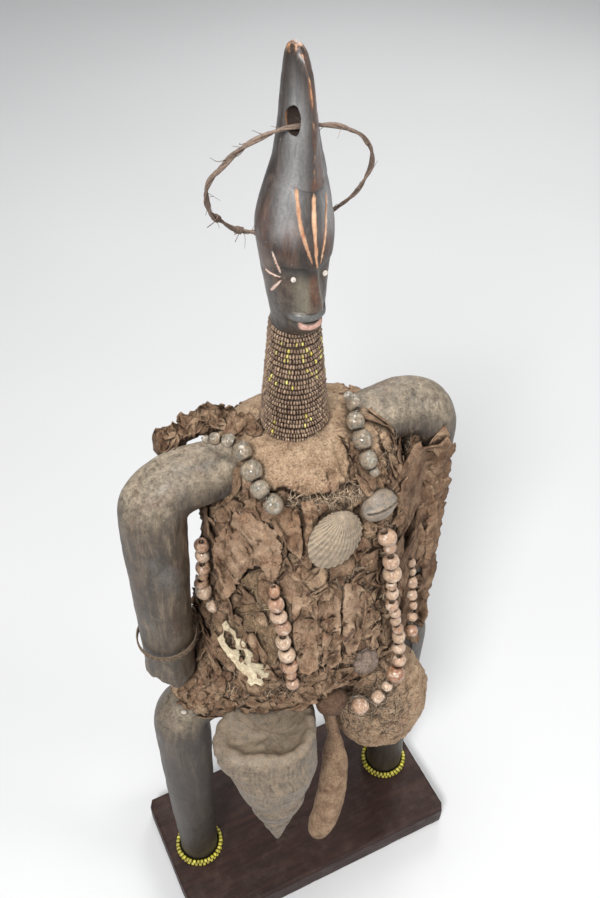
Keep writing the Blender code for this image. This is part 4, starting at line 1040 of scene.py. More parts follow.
def ankle_rings():
    """Two rows of yellow beads round each foot."""
    draw = np.random.default_rng(11)
    tones = ((0.0, (0.330, 0.290, 0.020)), (0.6, (0.560, 0.500, 0.030)), (1.0, (0.700, 0.640, 0.090)))
    look = seed_look("yellow_bead_look", tones, 0.35)
    count = 36
    for side, name in ((-1, "left"), (1, "right")):
        heap = Heap()
        centre = side * (LEGS["span"] + LEGS["spread"])
        radius = LEGS["radii"][-1] + 2.4
        for row in range(2):
            for i in range(count):
                turn = math.tau * (i + 0.5 * row + draw.normal(0, 0.05)) / count
                points, faces = seed_bead(draw.normal(3.05, 0.10) * MM, 0.9 * MM, 12)
                out = radius - 0.25 * row + draw.normal(0, 0.08)
                lift = 1.6 + 2.9 * row + draw.normal(0, 0.06)
                at = world((centre + out * math.cos(turn), out * math.sin(turn), lift))
                at[2] = max(at[2], FOOT[2] + 1.55 * MM)
                along = (-math.sin(turn), math.cos(turn), draw.normal(0, 0.06))
                heap.add(oriented(points, at, along), faces, draw.uniform(0, 1))
        heap.piece("yellow_beads_" + name, look, "yellow_seed_beads", ["ankle_beads_" + name])


# Shares of a cord's radius: its strands' distance from its middle, and their own radius
STRAND_OFFSET, STRAND_RADIUS = 0.52, 0.56


def twisted(route, radius, strands, turns, sides, draw, uneven=0.16):
    """Strands wound round each other along a route."""
    route = np.asarray(route, float)
    ahead = unit(np.gradient(route, axis=0))
    across = np.array(list(carried(ahead, np.cross(ahead[0], (0.3, 0.5, 0.8)))))
    sides_of, others = across[:, 0], across[:, 1]
    along = np.linspace(0, 1, len(route))
    for strand in range(strands):
        angle = math.tau * (turns * along + strand / strands)
        off = radius * STRAND_OFFSET
        knots = max(4, len(route) // 9)
        wobble = 1 + uneven * np.interp(along * (knots - 1), np.arange(knots), draw.normal(0, 1, knots))
        path = route + off * (np.cos(angle)[:, None] * sides_of + np.sin(angle)[:, None] * others)
        yield tube(path, radius * STRAND_RADIUS * wobble, sides)


def hoop():
    """The ring of twisted fibre through the crest, with its binding and loose ends."""
    draw = np.random.default_rng(5)
    mesh = frame["nodes"]["crest_hoop"].data
    ring = np.array([vert.co for vert in mesh.vertices])
    centre = ring.mean(axis=0)
    _, _, axes = np.linalg.svd(ring - centre)
    first, second = axes[:2]
    reach = np.linalg.norm(ring - centre, axis=1).mean()
    last = 219
    turn = np.linspace(0, math.tau, last + 1)
    wave = 0.35 * np.sin(turn * 5 + 1) + 0.25 * np.sin(turn * 11)
    out = reach + wave * MM * np.minimum(1, 4 * np.abs(np.sin(turn / 2)))
    path = centre + np.outer(np.cos(turn) * out, first) + np.outer(np.sin(turn) * out, second)
    heap = Heap()
    for shape in twisted(path, 0.00086, 2, 11, 7, draw, 0.22):
        heap.add(*shape, draw.uniform(0.25, 0.6))
    for shape in twisted(path, 0.00115, 2, 7, 4, draw, 0.3):
        heap.add(*shape, draw.uniform(0.5, 0.9))
    out_axis = np.cross(first, second)
    for start, span, tone in ((0.62, 0.018, 0.95), (0.575, 0.012, 0.4), (0.50, 0.02, 0.3),
                              (0.70, 0.02, 0.35)):
        at = int(start * last)
        route = path[at:at + max(4, int(span * last))]
        steps = np.linspace(0, 5 * math.tau, 50)
        core = np.stack([np.interp(np.linspace(0, len(route) - 1, 50), np.arange(len(route)), route[:, i])
                         for i in range(3)], axis=1)
        away = unit(core - centre)
        coil = core + 0.0013 * (np.cos(steps)[:, None] * away + np.sin(steps)[:, None] * out_axis)
        heap.add(*tube(coil, 0.00042, 5), tone)
        for _ in range(3):
            tip = coil[-1] + draw.normal(0, 1, 3) * 0.002 + away[-1] * draw.uniform(-0.002, 0.005)
            heap.add(*tube(smooth_route([core[-1], coil[-1], tip], 4), 0.0002, 4), tone)
    for _ in range(26):
        at = draw.integers(8, 205)
        start = path[at]
        bend = start + (path[at + 6] - start) + draw.normal(0, 0.0012, 3)
        tip = bend + (path[at + 12] - path[at + 6]) * 0.7 + draw.normal(0, 0.0026, 3)
        fine = tube(smooth_route([start, bend, tip], 5), np.linspace(0.00022, 0.00008, 11), 4)
        heap.add(*fine, draw.uniform(0.1, 0.9))
    heap.piece("hoop_fibre", fibre_look("hoop_look", (0.050, 0.030, 0.022), (0.330, 0.240, 0.185)),
               "dark_fibre_wire", ["crest_hoop"])


def arm_band():
    """Three turns of cord round the broken arm, above the break, with frayed ends."""
    draw = np.random.default_rng(9)
    low, high = (np.array(corner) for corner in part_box("arm_cord_band"))
    centre, reach = (low + high) / 2, (high - low)[0] / 2 - 0.0017
    heap = Heap()
    turn = np.linspace(0, math.tau, 130)
    for row in range(3):
        lift = low[2] + 0.0020 + 0.0015 * row + 0.0003 * np.sin(turn * 2 + row * 1.7)
        lift += (turn / math.tau - 0.5) * 0.0008
        path = np.stack([centre[0] + reach * np.cos(turn), centre[1] + reach * np.sin(turn), lift], axis=1)
        for shape in twisted(path, 0.00052, 2, 30, 6, draw):
            heap.add(*shape, draw.uniform(0.2, 0.8))
    for _ in range(14):
        angle = draw.uniform(-2.6, 0.2)
        out = np.array((math.cos(angle), math.sin(angle), 0))
        start = centre + out * reach + (0, 0, draw.uniform(-0.002, 0.003))
        tip = start + out * draw.uniform(0.001, 0.003) + draw.normal(0, 0.002, 3)
        middle = (start + tip) / 2 + draw.normal(0, 0.0008, 3)
        heap.add(*tube(smooth_route([start, middle, tip], 4), 0.00018, 4), 0.7)
    heap.piece("arm_band_cord", fibre_look("band_look", (0.075, 0.050, 0.035), (0.240, 0.175, 0.120)),
               "plant_cord", ["arm_cord_band"])


# Clay dress

CLAY_COLUMNS = 404
SLAB = ((257, 433), (262, 495), (280, 487), (304, 497), (333, 490), (363, 478), (353, 458), (335, 412),
        (296, 404))
GOURD = ((238, 572), (226, 600), (228, 640), (247, 672), (276, 668), (283, 640), (281, 600), (268, 575),
         (252, 563))
FLAP_ARCH = ((238, 578), (240, 568), (246, 560), (255, 558), (262, 563), (264, 570), (258, 572), (250, 572),
             (244, 577))
GOURD_SIDE = ((287, 598), (319, 590), (341, 580), (349, 602), (351, 637), (331, 667), (305, 684), (292, 662),
              (294, 630))
# Width and depth in millimetres, then the pixels that a gap in the clay runs through
GAPS = (
    (2.6, 4.0,
     ((260, 490), (272, 494), (285, 490), (304, 500), (318, 496), (332, 495), (347, 487), (366, 480))),
    (2.2, 5.0, ((293, 500), (301, 512), (303, 530), (304, 556))),
    (2.4, 5.0, ((276, 521), (285, 535), (289, 556), (284, 572), (276, 584))),
    (2.6, 5.0, ((244, 572), (233, 590), (226, 612), (228, 640), (240, 662))),
    (2.6, 4.5, ((284, 592), (285, 620), (292, 650), (296, 682))),
    (2.0, 4.0, ((318, 590), (321, 615), (322, 640), (325, 664))),
    (2.0, 3.6, ((338, 585), (341, 610), (343, 640), (341, 660))),
    (2.2, 4.0, ((362, 570), (364, 600), (358, 630), (350, 652))),
    (3.2, 5.0, ((298, 676), (320, 670), (338, 660), (354, 640), (360, 624))),
    (3.0, 5.0, ((338, 690), (352, 686), (366, 680), (372, 672))),
    (2.6, 6.0, ((376, 520), (378, 548), (379, 580), (381, 610), (383, 655))),
    (3.0, 6.0, ((404, 480), (409, 505), (408, 540), (404, 575), (407, 610), (404, 650))),
    (4.0, 6.0, ((196, 534), (206, 545), (214, 565), (214, 600), (208, 625))),
    (2.6, 4.0, ((232, 500), (240, 505), (243, 516))),
    (3.0, 4.0, ((252, 690), (270, 694), (290, 690), (306, 700))),
    (2.0, 3.0, ((362, 480), (359, 466), (350, 452), (341, 436))),
    (2.4, 4.0, ((312, 556), (330, 566), (348, 562), (360, 548))),
)


def clay_point(angle, height, out=0.0):
    """A place on the clay at an angle off the front (viewer's right is plus), in figure units."""
    left, right, front, back = (np.interp(height, CLAY[:, 0], CLAY[:, i]) for i in (1, 2, 3, 4))
    ahead = np.maximum(0.0, np.cos(angle))
    folds = 2.2 * np.sin(angle * 26) * bell(angle - 0.12, 0.34) * bell(height - 300, 46)
    belt = 3.0 * bell(height - 262 - 10 * np.sin(angle * 3), 9) * ahead
    knobs = 1.3 * np.sin(angle * 7 + height * 0.11) * np.sin(height * 0.17 - angle * 4)
    paunch = 5.0 * bell(angle + 0.62, 0.3) * bell(height - 306, 32)
    swell = (folds + belt + knobs) * np.interp(height, (385, 408), (1.0, 0.15)) + paunch + out
    power = 2 / CLAY_ROUNDNESS
    sine, cosine = np.sin(angle), np.cos(angle)
    x = np.sign(sine) * (np.where(sine > 0, right, left) + swell) * np.abs(sine) ** power
    y = -np.sign(cosine) * (np.where(cosine > 0, front, back) + swell) * np.abs(cosine) ** power
    return np.stack([x, y, height + 0 * angle], axis=-1)


def clay_body():
    """The clay, earth and fibre over the trunk and hips."""
    even = np.linspace(-1, 1, CLAY_COLUMNS, endpoint=False)
    angles = math.pi * even * (0.70 + 0.30 * even ** 2)
    heights = np.linspace(192, 413.5, 192)
    height, angle = np.meshgrid(heights, angles, indexing="ij")
    rows = clay_point(angle, height)
    floor = [rows[0] * (share, share, 1) + (0, 0, 1.5 * (1 - share)) for share in (0.2, 0.5, 0.75, 0.9)]
    roof = [rows[-1] * (share, share, 1) + (0, 0, rise)
            for share, rise in ((0.93, 0.9), (0.84, 1.5), (0.6, 1.6))]
    grid = world(np.array([*floor, *rows, *roof]))
    normals = grid_normals(grid).reshape(-1, 3)
    points = grid.reshape(-1, 3)
    pixels = project(points)
    seen = ((points - EYE) * normals).sum(axis=1) < 0
    smooth = np.zeros(len(points))
    pouch = np.zeros(len(points))
    for outline in (SLAB, GOURD, GOURD_SIDE):
        core = np.mean(outline, axis=0)
        smooth = np.maximum(smooth, inside(outline, pixels) & seen)
        shrunk = core + (np.array(outline) - core) * 0.9
        smooth = np.maximum(0.55 * smooth, inside(shrunk.tolist(), pixels) & seen)
        if outline is not SLAB:
            pouch = np.maximum(pouch, 0.85 * (inside(shrunk.tolist(), pixels) & seen))
    neck = smoothstep(396, 408, (points - FOOT)[:, 2] / UNIT)
    smooth = np.maximum(smooth, 0.8 * neck)
    warp = points + 0.0016 * noise(points, 0.005, 3, 2)[:, None] * (1, -1, 1)
    crumbs, seams, _ = pebbles(warp, 0.0050, 41)
    _, rifts, level = pebbles(warp * (1, 1, 0.75), 0.0120, 45)
    _, rims, flake = pebbles(warp * (1, 1, 0.7) + 0.3, 0.0072, 47)
    broken = smoothstep(-0.5, 0.2, noise(points, 0.040, 48, 2))
    rough = 0.7 * level * broken + 0.5 * flake - 0.45 * bell(rifts, 0.05) * broken - 0.15 * bell(rims, 0.05)
    bumps = noise(points, 0.006, 2, 3) + 0.8 * np.clip(0.55 - crumbs, -0.2, 0.5)
    rough += bumps - 0.3 * bell(seams, 0.10)
    rough += 0.60 * noise(points, 0.0022, 7, 2)
    relief = (1.2 * noise(points, 0.014, 1, 2)) * (1 - 0.6 * smooth) + rough * (1 - 0.88 * smooth)
    relief += 0.35 * smooth * noise(points, 0.005, 8, 4)
    flutes = np.sin(pixels[:, 0] * 0.62 + 0.02 * pixels[:, 1] + 1.5 * noise(points, 0.012, 9, 2))
    relief += pouch * (pixels[:, 0] > 284) * (0.9 * flutes - 0.4)
    front = seen & (np.abs(np.arctan2(points[:, 0], -(points[:, 1] - FOOT[1]))) < 1.9)
    for width, depth, route in GAPS:
        far, along = line_distance(np.array(smooth_route(route, 4)), pixels)
        half = 0.5 * width / MM_PER_PIXEL * (1 + 0.35 * noise(points, 0.006, 5, 2))
        half = half * (0.35 + 0.65 * np.sin(math.pi * along) ** 0.5)
        relief -= depth * front * smoothstep(1, 0.25, far / np.maximum(half, 0.3))
    creases = np.minimum(np.abs(noise(points * (1, 1, 0.55), 0.020, 61, 3)), 1)
    relief -= 1.6 * smoothstep(0.08, 0.0, creases) * (1 - smooth) * (noise(points, 0.05, 62, 1) > 0.0)
    relief -= 2.6 * (inside(FLAP_ARCH, pixels) & seen)
    edge = smoothstep(0, 5, np.arange(len(grid))[:, None] - 1.0) * np.ones(CLAY_COLUMNS)
    points = points + normals * (relief * edge.ravel())[:, None] * MM
    across = relief.reshape(grid.shape[:2])
    mean = across.copy()
    for _ in range(10):
        mean = 0.5 * mean + 0.25 * (np.roll(mean, 1, axis=1) + np.roll(mean, -1, axis=1))
        mean[1:-1] = 0.5 * mean[1:-1] + 0.25 * (mean[:-2] + mean[2:])
    # Painted shade where the relief lies below its surroundings.
    pit_shade = smoothstep(0.2, 1.3, (mean - across).ravel()) * 0.85
    corners, faces = closed_grid(points.reshape(grid.shape))
    # Painted shade under the arch of the chest flap.
    pit_shade = np.maximum(pit_shade, 0.92 * (inside(FLAP_ARCH, pixels) & seen))
    tones = {"pit_shade": pit_shade, "smooth": smooth, "pouch": pouch}
    tones = {tone: np.append(values, (0, 0)) for tone, values in tones.items()}
    return piece("clay_dress", corners, faces, dusty_clay(), ["torso_clay"], tones)


# What lies on the doll

ARM_GIRTH_RADIUS = 18


def arm_across(height):
    """How far the straight part of an arm is from the middle at a height."""
    return ARMS["span"] + ARMS["spread"] * np.interp(height, (242, 378), (1, 0))


class Carrier:
    """Surfaces that flaps, fibres and crumbs lie on."""

    def __init__(self, objects):
        corners, faces = [], []
        for made in objects:
            start = len(corners)
            corners += [vert.co for vert in made.data.vertices]
            faces += [[start + corner for corner in face.vertices] for face in made.data.polygons]
        self.tree = BVHTree.FromPolygons(corners, faces)

    def cast(self, start, way):
        """A ray's start, its direction, and how far along it the surface is."""
        hit = self.tree.ray_cast(Vector(start), Vector(way))
        return start, way, hit[3] if hit[0] is not None else math.nan

    def rays(self, lay, spots):
        """The starts, directions and reaches of the rays for spots, in one of the three ways below."""
        return [np.array(part) for part in zip(*(getattr(self, lay)(spot) for spot in spots))]

    def seen(self, spot):
        """The ray to a pixel of the photograph, and how far along it the surface is."""
        return self.cast(EYE, np.array(sight(spot)))

    def limb(self, spot):
        """The same for the arm on the viewer's right: units round it off its front, and units down it."""
        angle, height = spot[0] / ARM_GIRTH_RADIUS, -spot[1]
        across = arm_across(height)
        out = np.array((math.sin(angle), -math.cos(angle), 0.0))
        start = world((across, 0, height)) + out * 0.06
        return self.cast(start, -out)

    def limb_spot(self, spot):
        """Where a pixel of the photograph falls on that arm."""
        start, way, reach = self.seen(spot)
        at = (start + way * reach - FOOT) / UNIT
        return ARM_GIRTH_RADIUS * math.atan2(at[0] - arm_across(at[2]), -at[1]), -at[2]

    def round(self, spot):
        """The same from outside the clay, at hundredths of a radian round it and half units down it."""
        angle, height = spot[0] / 100, -spot[1] / 2
        around = np.array((angle, angle + 0.03, angle))
        at, beside, above = world(clay_point(around, np.array((height, height, height + 2))))
        out = np.cross(beside - at, above - at)
        out /= np.linalg.norm(out)
        start = at + out * 0.05
        return self.cast(start, -out)


def rim_distance(border, spots):
    """Distance from each spot to the nearest point of a border."""
    return np.array([np.linalg.norm(border - at, axis=1).min() for at in spots])


def flap(name, outline, look, carrier, lay="seen", lift=0.8, curl=1.6, thick=0.9, ragged=1.0,
         spacing=1.5, crumple=0.8, soften=10, holes=(), stands_for=(), seed=1):
    """A torn sheet with an outline in pixels, laid over what carries it, its edges curling away."""
    draw = np.random.default_rng(seed)
    rim = []
    for loop in (outline, *holes):
        edge = []
        for start, stop in zip(loop, [*loop[1:], loop[0]]):
            start, stop = np.array(start, float), np.array(stop, float)
            steps = max(1, int(np.linalg.norm(stop - start) / spacing))
            edge += [start + (stop - start) * i / steps for i in range(steps)]
        edge = np.array(edge)
        shift = np.stack([noise(np.column_stack([edge, np.full(len(edge), seed * 9.1 + i)]), 5.0, seed + i, 3)
                          for i in (0, 1)], axis=1)
        rim.append(edge + shift * ragged)
    low, high = rim[0].min(axis=0), rim[0].max(axis=0)
    xs, ys = np.meshgrid(np.arange(low[0], high[0], spacing), np.arange(low[1], high[1], spacing * 0.87))
    xs[::2] += spacing / 2
    inner = np.stack([xs.ravel(), ys.ravel()], axis=1) + draw.uniform(-0.2, 0.2, (xs.size, 2)) * spacing
    inner = inner[inside(rim[0].tolist(), inner)]
    for loop in rim[1:]:
        inner = inner[~inside(loop.tolist(), inner)]
    border = np.vstack(rim)
    inner = inner[rim_distance(border, inner) > 0.5 * spacing]
    flat = np.vstack([border, inner])
    edges, start = [], 0
    for loop in rim:
        edges += [(start + i, start + (i + 1) % len(loop)) for i in range(len(loop))]
        start += len(loop)
    laid = delaunay_2d_cdt([Vector(at) for at in flat], edges, [], 0, 1e-6)
    flat = np.array([tuple(at) for at in laid[0]])
    triangles = np.array([tuple(face) for face in laid[2] if len(face) == 3])
    middle = flat[triangles].mean(axis=1)
    keep = inside(rim[0].tolist(), middle)
    for loop in rim[1:]:
        keep &= ~inside(loop.tolist(), middle)
    triangles = triangles[keep]
    used = np.unique(triangles)
    renumber = np.full(len(flat), -1)
    renumber[used] = np.arange(len(used))
    flat, triangles = flat[used], renumber[triangles]
    starts, ways, reach = carrier.rays(lay, flat)
    if np.isnan(reach).any():
        reach[np.isnan(reach)] = np.nanmedian(reach)
    limit = np.percentile(reach, 85) + 0.004
    reach = np.minimum(reach, limit)
    pairs = np.vstack([triangles[:, (0, 1)], triangles[:, (1, 2)], triangles[:, (2, 0)]])
    pairs = np.vstack([pairs, pairs[:, ::-1]])
    count = np.bincount(pairs[:, 0], minlength=len(flat))
    soft = reach.copy()
    for _ in range(soften):
        mean = np.bincount(pairs[:, 0], soft[pairs[:, 1]], minlength=len(flat)) / np.maximum(count, 1)
        soft = np.minimum(0.3 * soft + 0.7 * mean, reach)
    toedge = rim_distance(border, flat)
    spread = np.column_stack([flat, np.full(len(flat), seed * 3.3)])
    rise = lift + curl * bell(toedge, 3.2) * np.clip(0.45 + 0.8 * noise(spread, 16, seed, 2), 0, 1.4)
    rise += crumple * (noise(spread, 7, seed + 2, 3) * 0.6 + 0.35 * np.abs(noise(spread, 11, seed + 5, 2)))
    points = starts + ways * (soft - np.maximum(rise, 0.25) * MM)[:, None]
    first, second, third = (points[triangles[:, i]] for i in range(3))
    sides = np.cross(second - first, third - first)
    if (sides * ways[triangles[:, 0]]).sum() > 0:
        triangles = triangles[:, ::-1]
    values = {"tone": np.clip(0.5 + 0.5 * noise(points, 0.012, seed), 0, 1)}
    made = piece(name, points, triangles.tolist(), look, stands_for, values)
    solid = made.modifiers.new("thickness", "SOLIDIFY")
    solid.thickness, solid.offset, solid.use_even_offset = thick * MM, 0.0, False
    return made


def strand_route(start, heading, length, carrier, lay, draw, lift, arch, step=3.0, wander=0.5):
    """A loose fibre's route from a spot, as points in the row frame."""
    spot, run = np.array(start, float), []
    count = max(4, int(length / step))
    bow = draw.uniform(0.2, 1.0) * arch
    for i in range(count + 1):
        origin, way, reach = getattr(carrier, lay)(spot)
        if math.isnan(reach):
            break
        rise = lift + bow * math.sin(math.pi * i / count)
        run.append(origin + way * (reach - rise * MM))
        heading += draw.normal(0, wander)
        spot = spot + step * np.array((math.cos(heading), math.sin(heading)))
    if len(run) < 4:
        return None
    run = np.array(run)
    for _ in range(2):
        run[1:-1] = 0.5 * run[1:-1] + 0.25 * (run[:-2] + run[2:])
    return run if np.linalg.norm(np.diff(run, axis=0), axis=1).max() < 0.006 else None


def fibres(name, plots, carrier, look, slot, seed, lay="seen"):
    """Loose fibres in plots of the picture: outline, count, length, radius, arch and heading."""
    draw = np.random.default_rng(seed)
    heap = Heap()
    for outline, count, length, radius, arch, heading in plots:
        outline = np.array(outline, float)
        low, high = outline.min(axis=0), outline.max(axis=0)
        made = 0
        for _ in range(count * 6):
            if made >= count:
                break
            start = draw.uniform(low, high)
            if not inside(outline.tolist(), start[None])[0]:
                continue
            if heading is None:
                aim = draw.uniform(0, math.tau)
            else:
                aim = math.radians(heading) + draw.normal(0, 0.5)
            run = strand_route(start, aim, length * draw.uniform(0.5, 1.3), carrier, lay, draw, 0.25, arch)
            if run is None:
                continue
            thick = radius * draw.uniform(0.6, 1.4) * MM
            heap.add(*tube(run, thick * np.linspace(1, 0.55, len(run)), 4), draw.uniform(0, 1) ** 1.5)
            made += 1
    return heap.piece(name, look, slot)


def ball(draw, size, squash=0.7, rough=0.18):
    """A small rough lump round the origin."""
    turn = np.linspace(0, math.tau, 7, endpoint=False)
    rings = [np.stack([math.sin(tilt) * np.cos(turn), math.sin(tilt) * np.sin(turn),
                       np.full(7, math.cos(tilt))], axis=1) for tilt in np.radians((150, 118, 90, 62, 30))]
    corners, faces = closed_grid(np.array(rings))
    corners = corners * (1 + rough * draw.normal(0, 1, (len(corners), 1)))
    corners = corners * (1, draw.uniform(0.6, 1), squash)
    turned = corners @ np.array(Matrix.Rotation(draw.uniform(0, 6), 3, "X"))
    return turned * size, faces


def on_smooth_clay(points):
    """Whether the first of the points is seen in the smooth slab or the gourd."""
    pixel = project(points)
    return inside(SLAB, pixel)[0] or inside(GOURD, pixel)[0]


# Outline in pixels, number and size of the scraps
SCRAP_PLOTS = (
    (((196, 600), (262, 672), (262, 716), (180, 716), (160, 680)), 26, 5.5),
    (((236, 500), (300, 494), (296, 530), (240, 520)), 16, 4.5),
    (((300, 556), (372, 560), (370, 600), (304, 600)), 16, 4.5),
    (((374, 500), (432, 470), (432, 640), (376, 650)), 60, 7.5),
    (((262, 676), (392, 668), (398, 716), (262, 716)), 34, 5.5),
    (((384, 440), (440, 436), (438, 500), (390, 500)), 30, 7.0),
    (((330, 560), (374, 600), (366, 668), (340, 668)), 12, 5.0),
    (((204, 532), (232, 540), (224, 612), (206, 612)), 16, 6.0),
    (((150, 404), (262, 396), (256, 428), (200, 432), (160, 448)), 44, 6.5),
    (((352, 440), (384, 470), (376, 500), (350, 470)), 10, 4.5),
)


def scrap(spot, size, stretch, heading, carrier, lay, draw, thick=0.7):
    """Points and faces of one small torn scrap: rings out from its middle, its rim curled up."""
    sides, shares = 9, (0.45, 0.8, 1.0)
    rim = 1 + 0.22 * draw.normal(0, 1, sides)
    turn = np.linspace(0, math.tau, sides, endpoint=False)
    places, shares_of = [np.array(spot, float)], [0.0]
    c, s = math.cos(heading), math.sin(heading)
    for share in shares:
        for t, reach in zip(turn, rim):
            across, along = size * share * reach * math.cos(t), size * stretch * share * reach * math.sin(t)
            places.append(places[0] + (c * across - s * along, s * across + c * along))
            shares_of.append(share)
    starts, ways, reach = carrier.rays(lay, places)
    if np.isnan(reach).sum() > len(reach) // 3:
        return None
    reach = np.where(np.isnan(reach), np.nanmedian(reach), reach)
    if np.ptp(reach) > 0.016:
        return None
    shares_of = np.array(shares_of)
    flat = np.minimum(reach.mean() + 0.55 * (reach - reach.mean()), reach)
    bend = draw.uniform(0, 6)
    curl = np.append(0.0, np.tile(0.6 + 0.6 * np.sin(turn * draw.integers(1, 3) + bend), len(shares)))
    rise = draw.uniform(0.5, 1.4) + 1.9 * curl * shares_of ** 2 * draw.uniform(0.4, 1.2)
    rise = rise + draw.normal(0, 0.25, len(flat))
    top = starts + ways * (flat - np.maximum(rise, 0.2) * MM)[:, None]
    low = top + ways * thick * MM
    count = len(top)
    faces = []
    for i in range(sides):
        j = (i + 1) % sides
        faces.append([0, 1 + i, 1 + j])
        faces.append([count, count + 1 + j, count + 1 + i])
        for ring in range(len(shares) - 1):
            a, b = 1 + ring * sides, 1 + (ring + 1) * sides
            faces.append([a + i, b + i, b + j, a + j])
            faces.append([count + a + j, count + b + j, count + b + i, count + a + i])
        edge = 1 + (len(shares) - 1) * sides
        faces.append([edge + i, count + edge + i, count + edge + j, edge + j])
    return np.vstack([top, low]), faces


def scraps(carrier, around):
    """Small torn bits of leather and husk, layered over the clay and the arm."""
    draw = np.random.default_rng(41)
    heap = Heap()
    for outline, count, size in SCRAP_PLOTS:
        outline = np.array(outline, float)
        low, high = outline.min(axis=0), outline.max(axis=0)
        made, under = 0, carrier if low[0] > 370 or high[1] < 450 else around
        for _ in range(count * 5):
            if made >= count:
                break
            spot = draw.uniform(low, high)
            if not inside(outline.tolist(), spot[None])[0]:
                continue
            shape = scrap(spot, size * draw.uniform(0.5, 1.2), draw.uniform(0.9, 2.0), draw.normal(0, 0.6),
                          under, "seen", draw)
            if shape is not None:
                heap.add(*shape, draw.uniform(0, 1))
                made += 1
    for _ in range(330):
        spot = (draw.uniform(80, 540) % 628 - 314, -2 * draw.uniform(205, 405))
        shape = scrap(spot, draw.uniform(5, 13), draw.uniform(0.9, 2.2), draw.normal(0, 0.5), around, "round",
                      draw)
        if shape is None or (abs(spot[0]) < 60 and on_smooth_clay(shape[0][:1])):
            continue
        heap.add(*shape, draw.uniform(0, 1))
    look = hide("scraps_look", (0.070, 0.036, 0.020), (0.300, 0.172, 0.100), (0.560, 0.385, 0.245))
    heap.piece("torn_scraps", look, "stiff_leather")


def crumbs(carrier):
    """Loose crumbs of earth and husk stuck to the clay, front and back."""
    draw = np.random.default_rng(17)
    heap = Heap()
    for _ in range(430):
        spot = (draw.uniform(-314, 314), draw.uniform(-2 * 408, -2 * 200))
        origin, way, reach = carrier.round(spot)
        if math.isnan(reach):
            continue
        at = origin + way * reach
        if on_smooth_clay(at[None]):
            continue
        size = (0.5 + 1.3 * draw.random() ** 2.2) * MM
        points, faces = ball(draw, size)
        heap.add(oriented(points, at - way * size * 0.15, -way, draw.uniform(0, 6)), faces, draw.random())
    heap.piece("clay_crumbs", hide("crumb_look", (0.080, 0.045, 0.028), (0.330, 0.215, 0.135),
                                   (0.440, 0.310, 0.205)),
               "dusty_clay")


# Strands, shells and other things hung on the dress

TRADE_BEAD = 9.6
STRANDS = dict(
    beads_left_shoulder=(
        ((-48, 2, 419), (-42, -2, 419.5), (-35.5, -8, 419), (-33.5, -18, 414), (-32.5, -26, 409),
         (-31, -33, 402.5), (-25, -37, 399)), (0.42, 0.62, 0.72, 0.98, 1.08, 0.94, 1.0, 0.9)),
    beads_left_side=(((-55, -3, 352), (-55.5, -3, 330), (-56, 0, 309), (-52, -8, 297)),
                     (0.85, 1.0, 0.96, 0.7)),
    beads_middle=(((-34, -46, 352), (-33, -51, 330), (-31, -56, 300), (-29.5, -60, 274)),
                  (0.76, 0.88, 1.04, 1.0, 1.0, 1.04, 0.92, 0.7)),
    beads_right_shoulder=(((29, 1, 419), (27.5, -9, 418.5), (25, -20, 413), (24.5, -29, 406), (26, -36, 397)),
                          (0.5, 0.9, 1.0, 1.06, 1.0)),
    beads_right_front=(
        ((29, -47.5, 366), (32, -52, 335), (34, -55, 300), (38, -58, 272), (35, -62, 250), (24, -66, 240),
         (8, -66, 235)),
        (1.18, 0.78, 1.0, 1.18, 0.74, 0.9, 0.84, 0.8, 0.7, 0.82, 0.9, 1.0, 0.9)),
    beads_right_side=(((61, -26, 302), (58, -38, 280), (50, -53, 264)), (0.74, 0.6, 0.8)),
)


def along_route(run, distance):
    """The place at a distance along a run."""
    lengths = np.concatenate([[0], np.cumsum(np.linalg.norm(np.diff(run, axis=0), axis=1))])
    return np.array([np.interp(distance, lengths, run[:, i]) for i in range(3)])


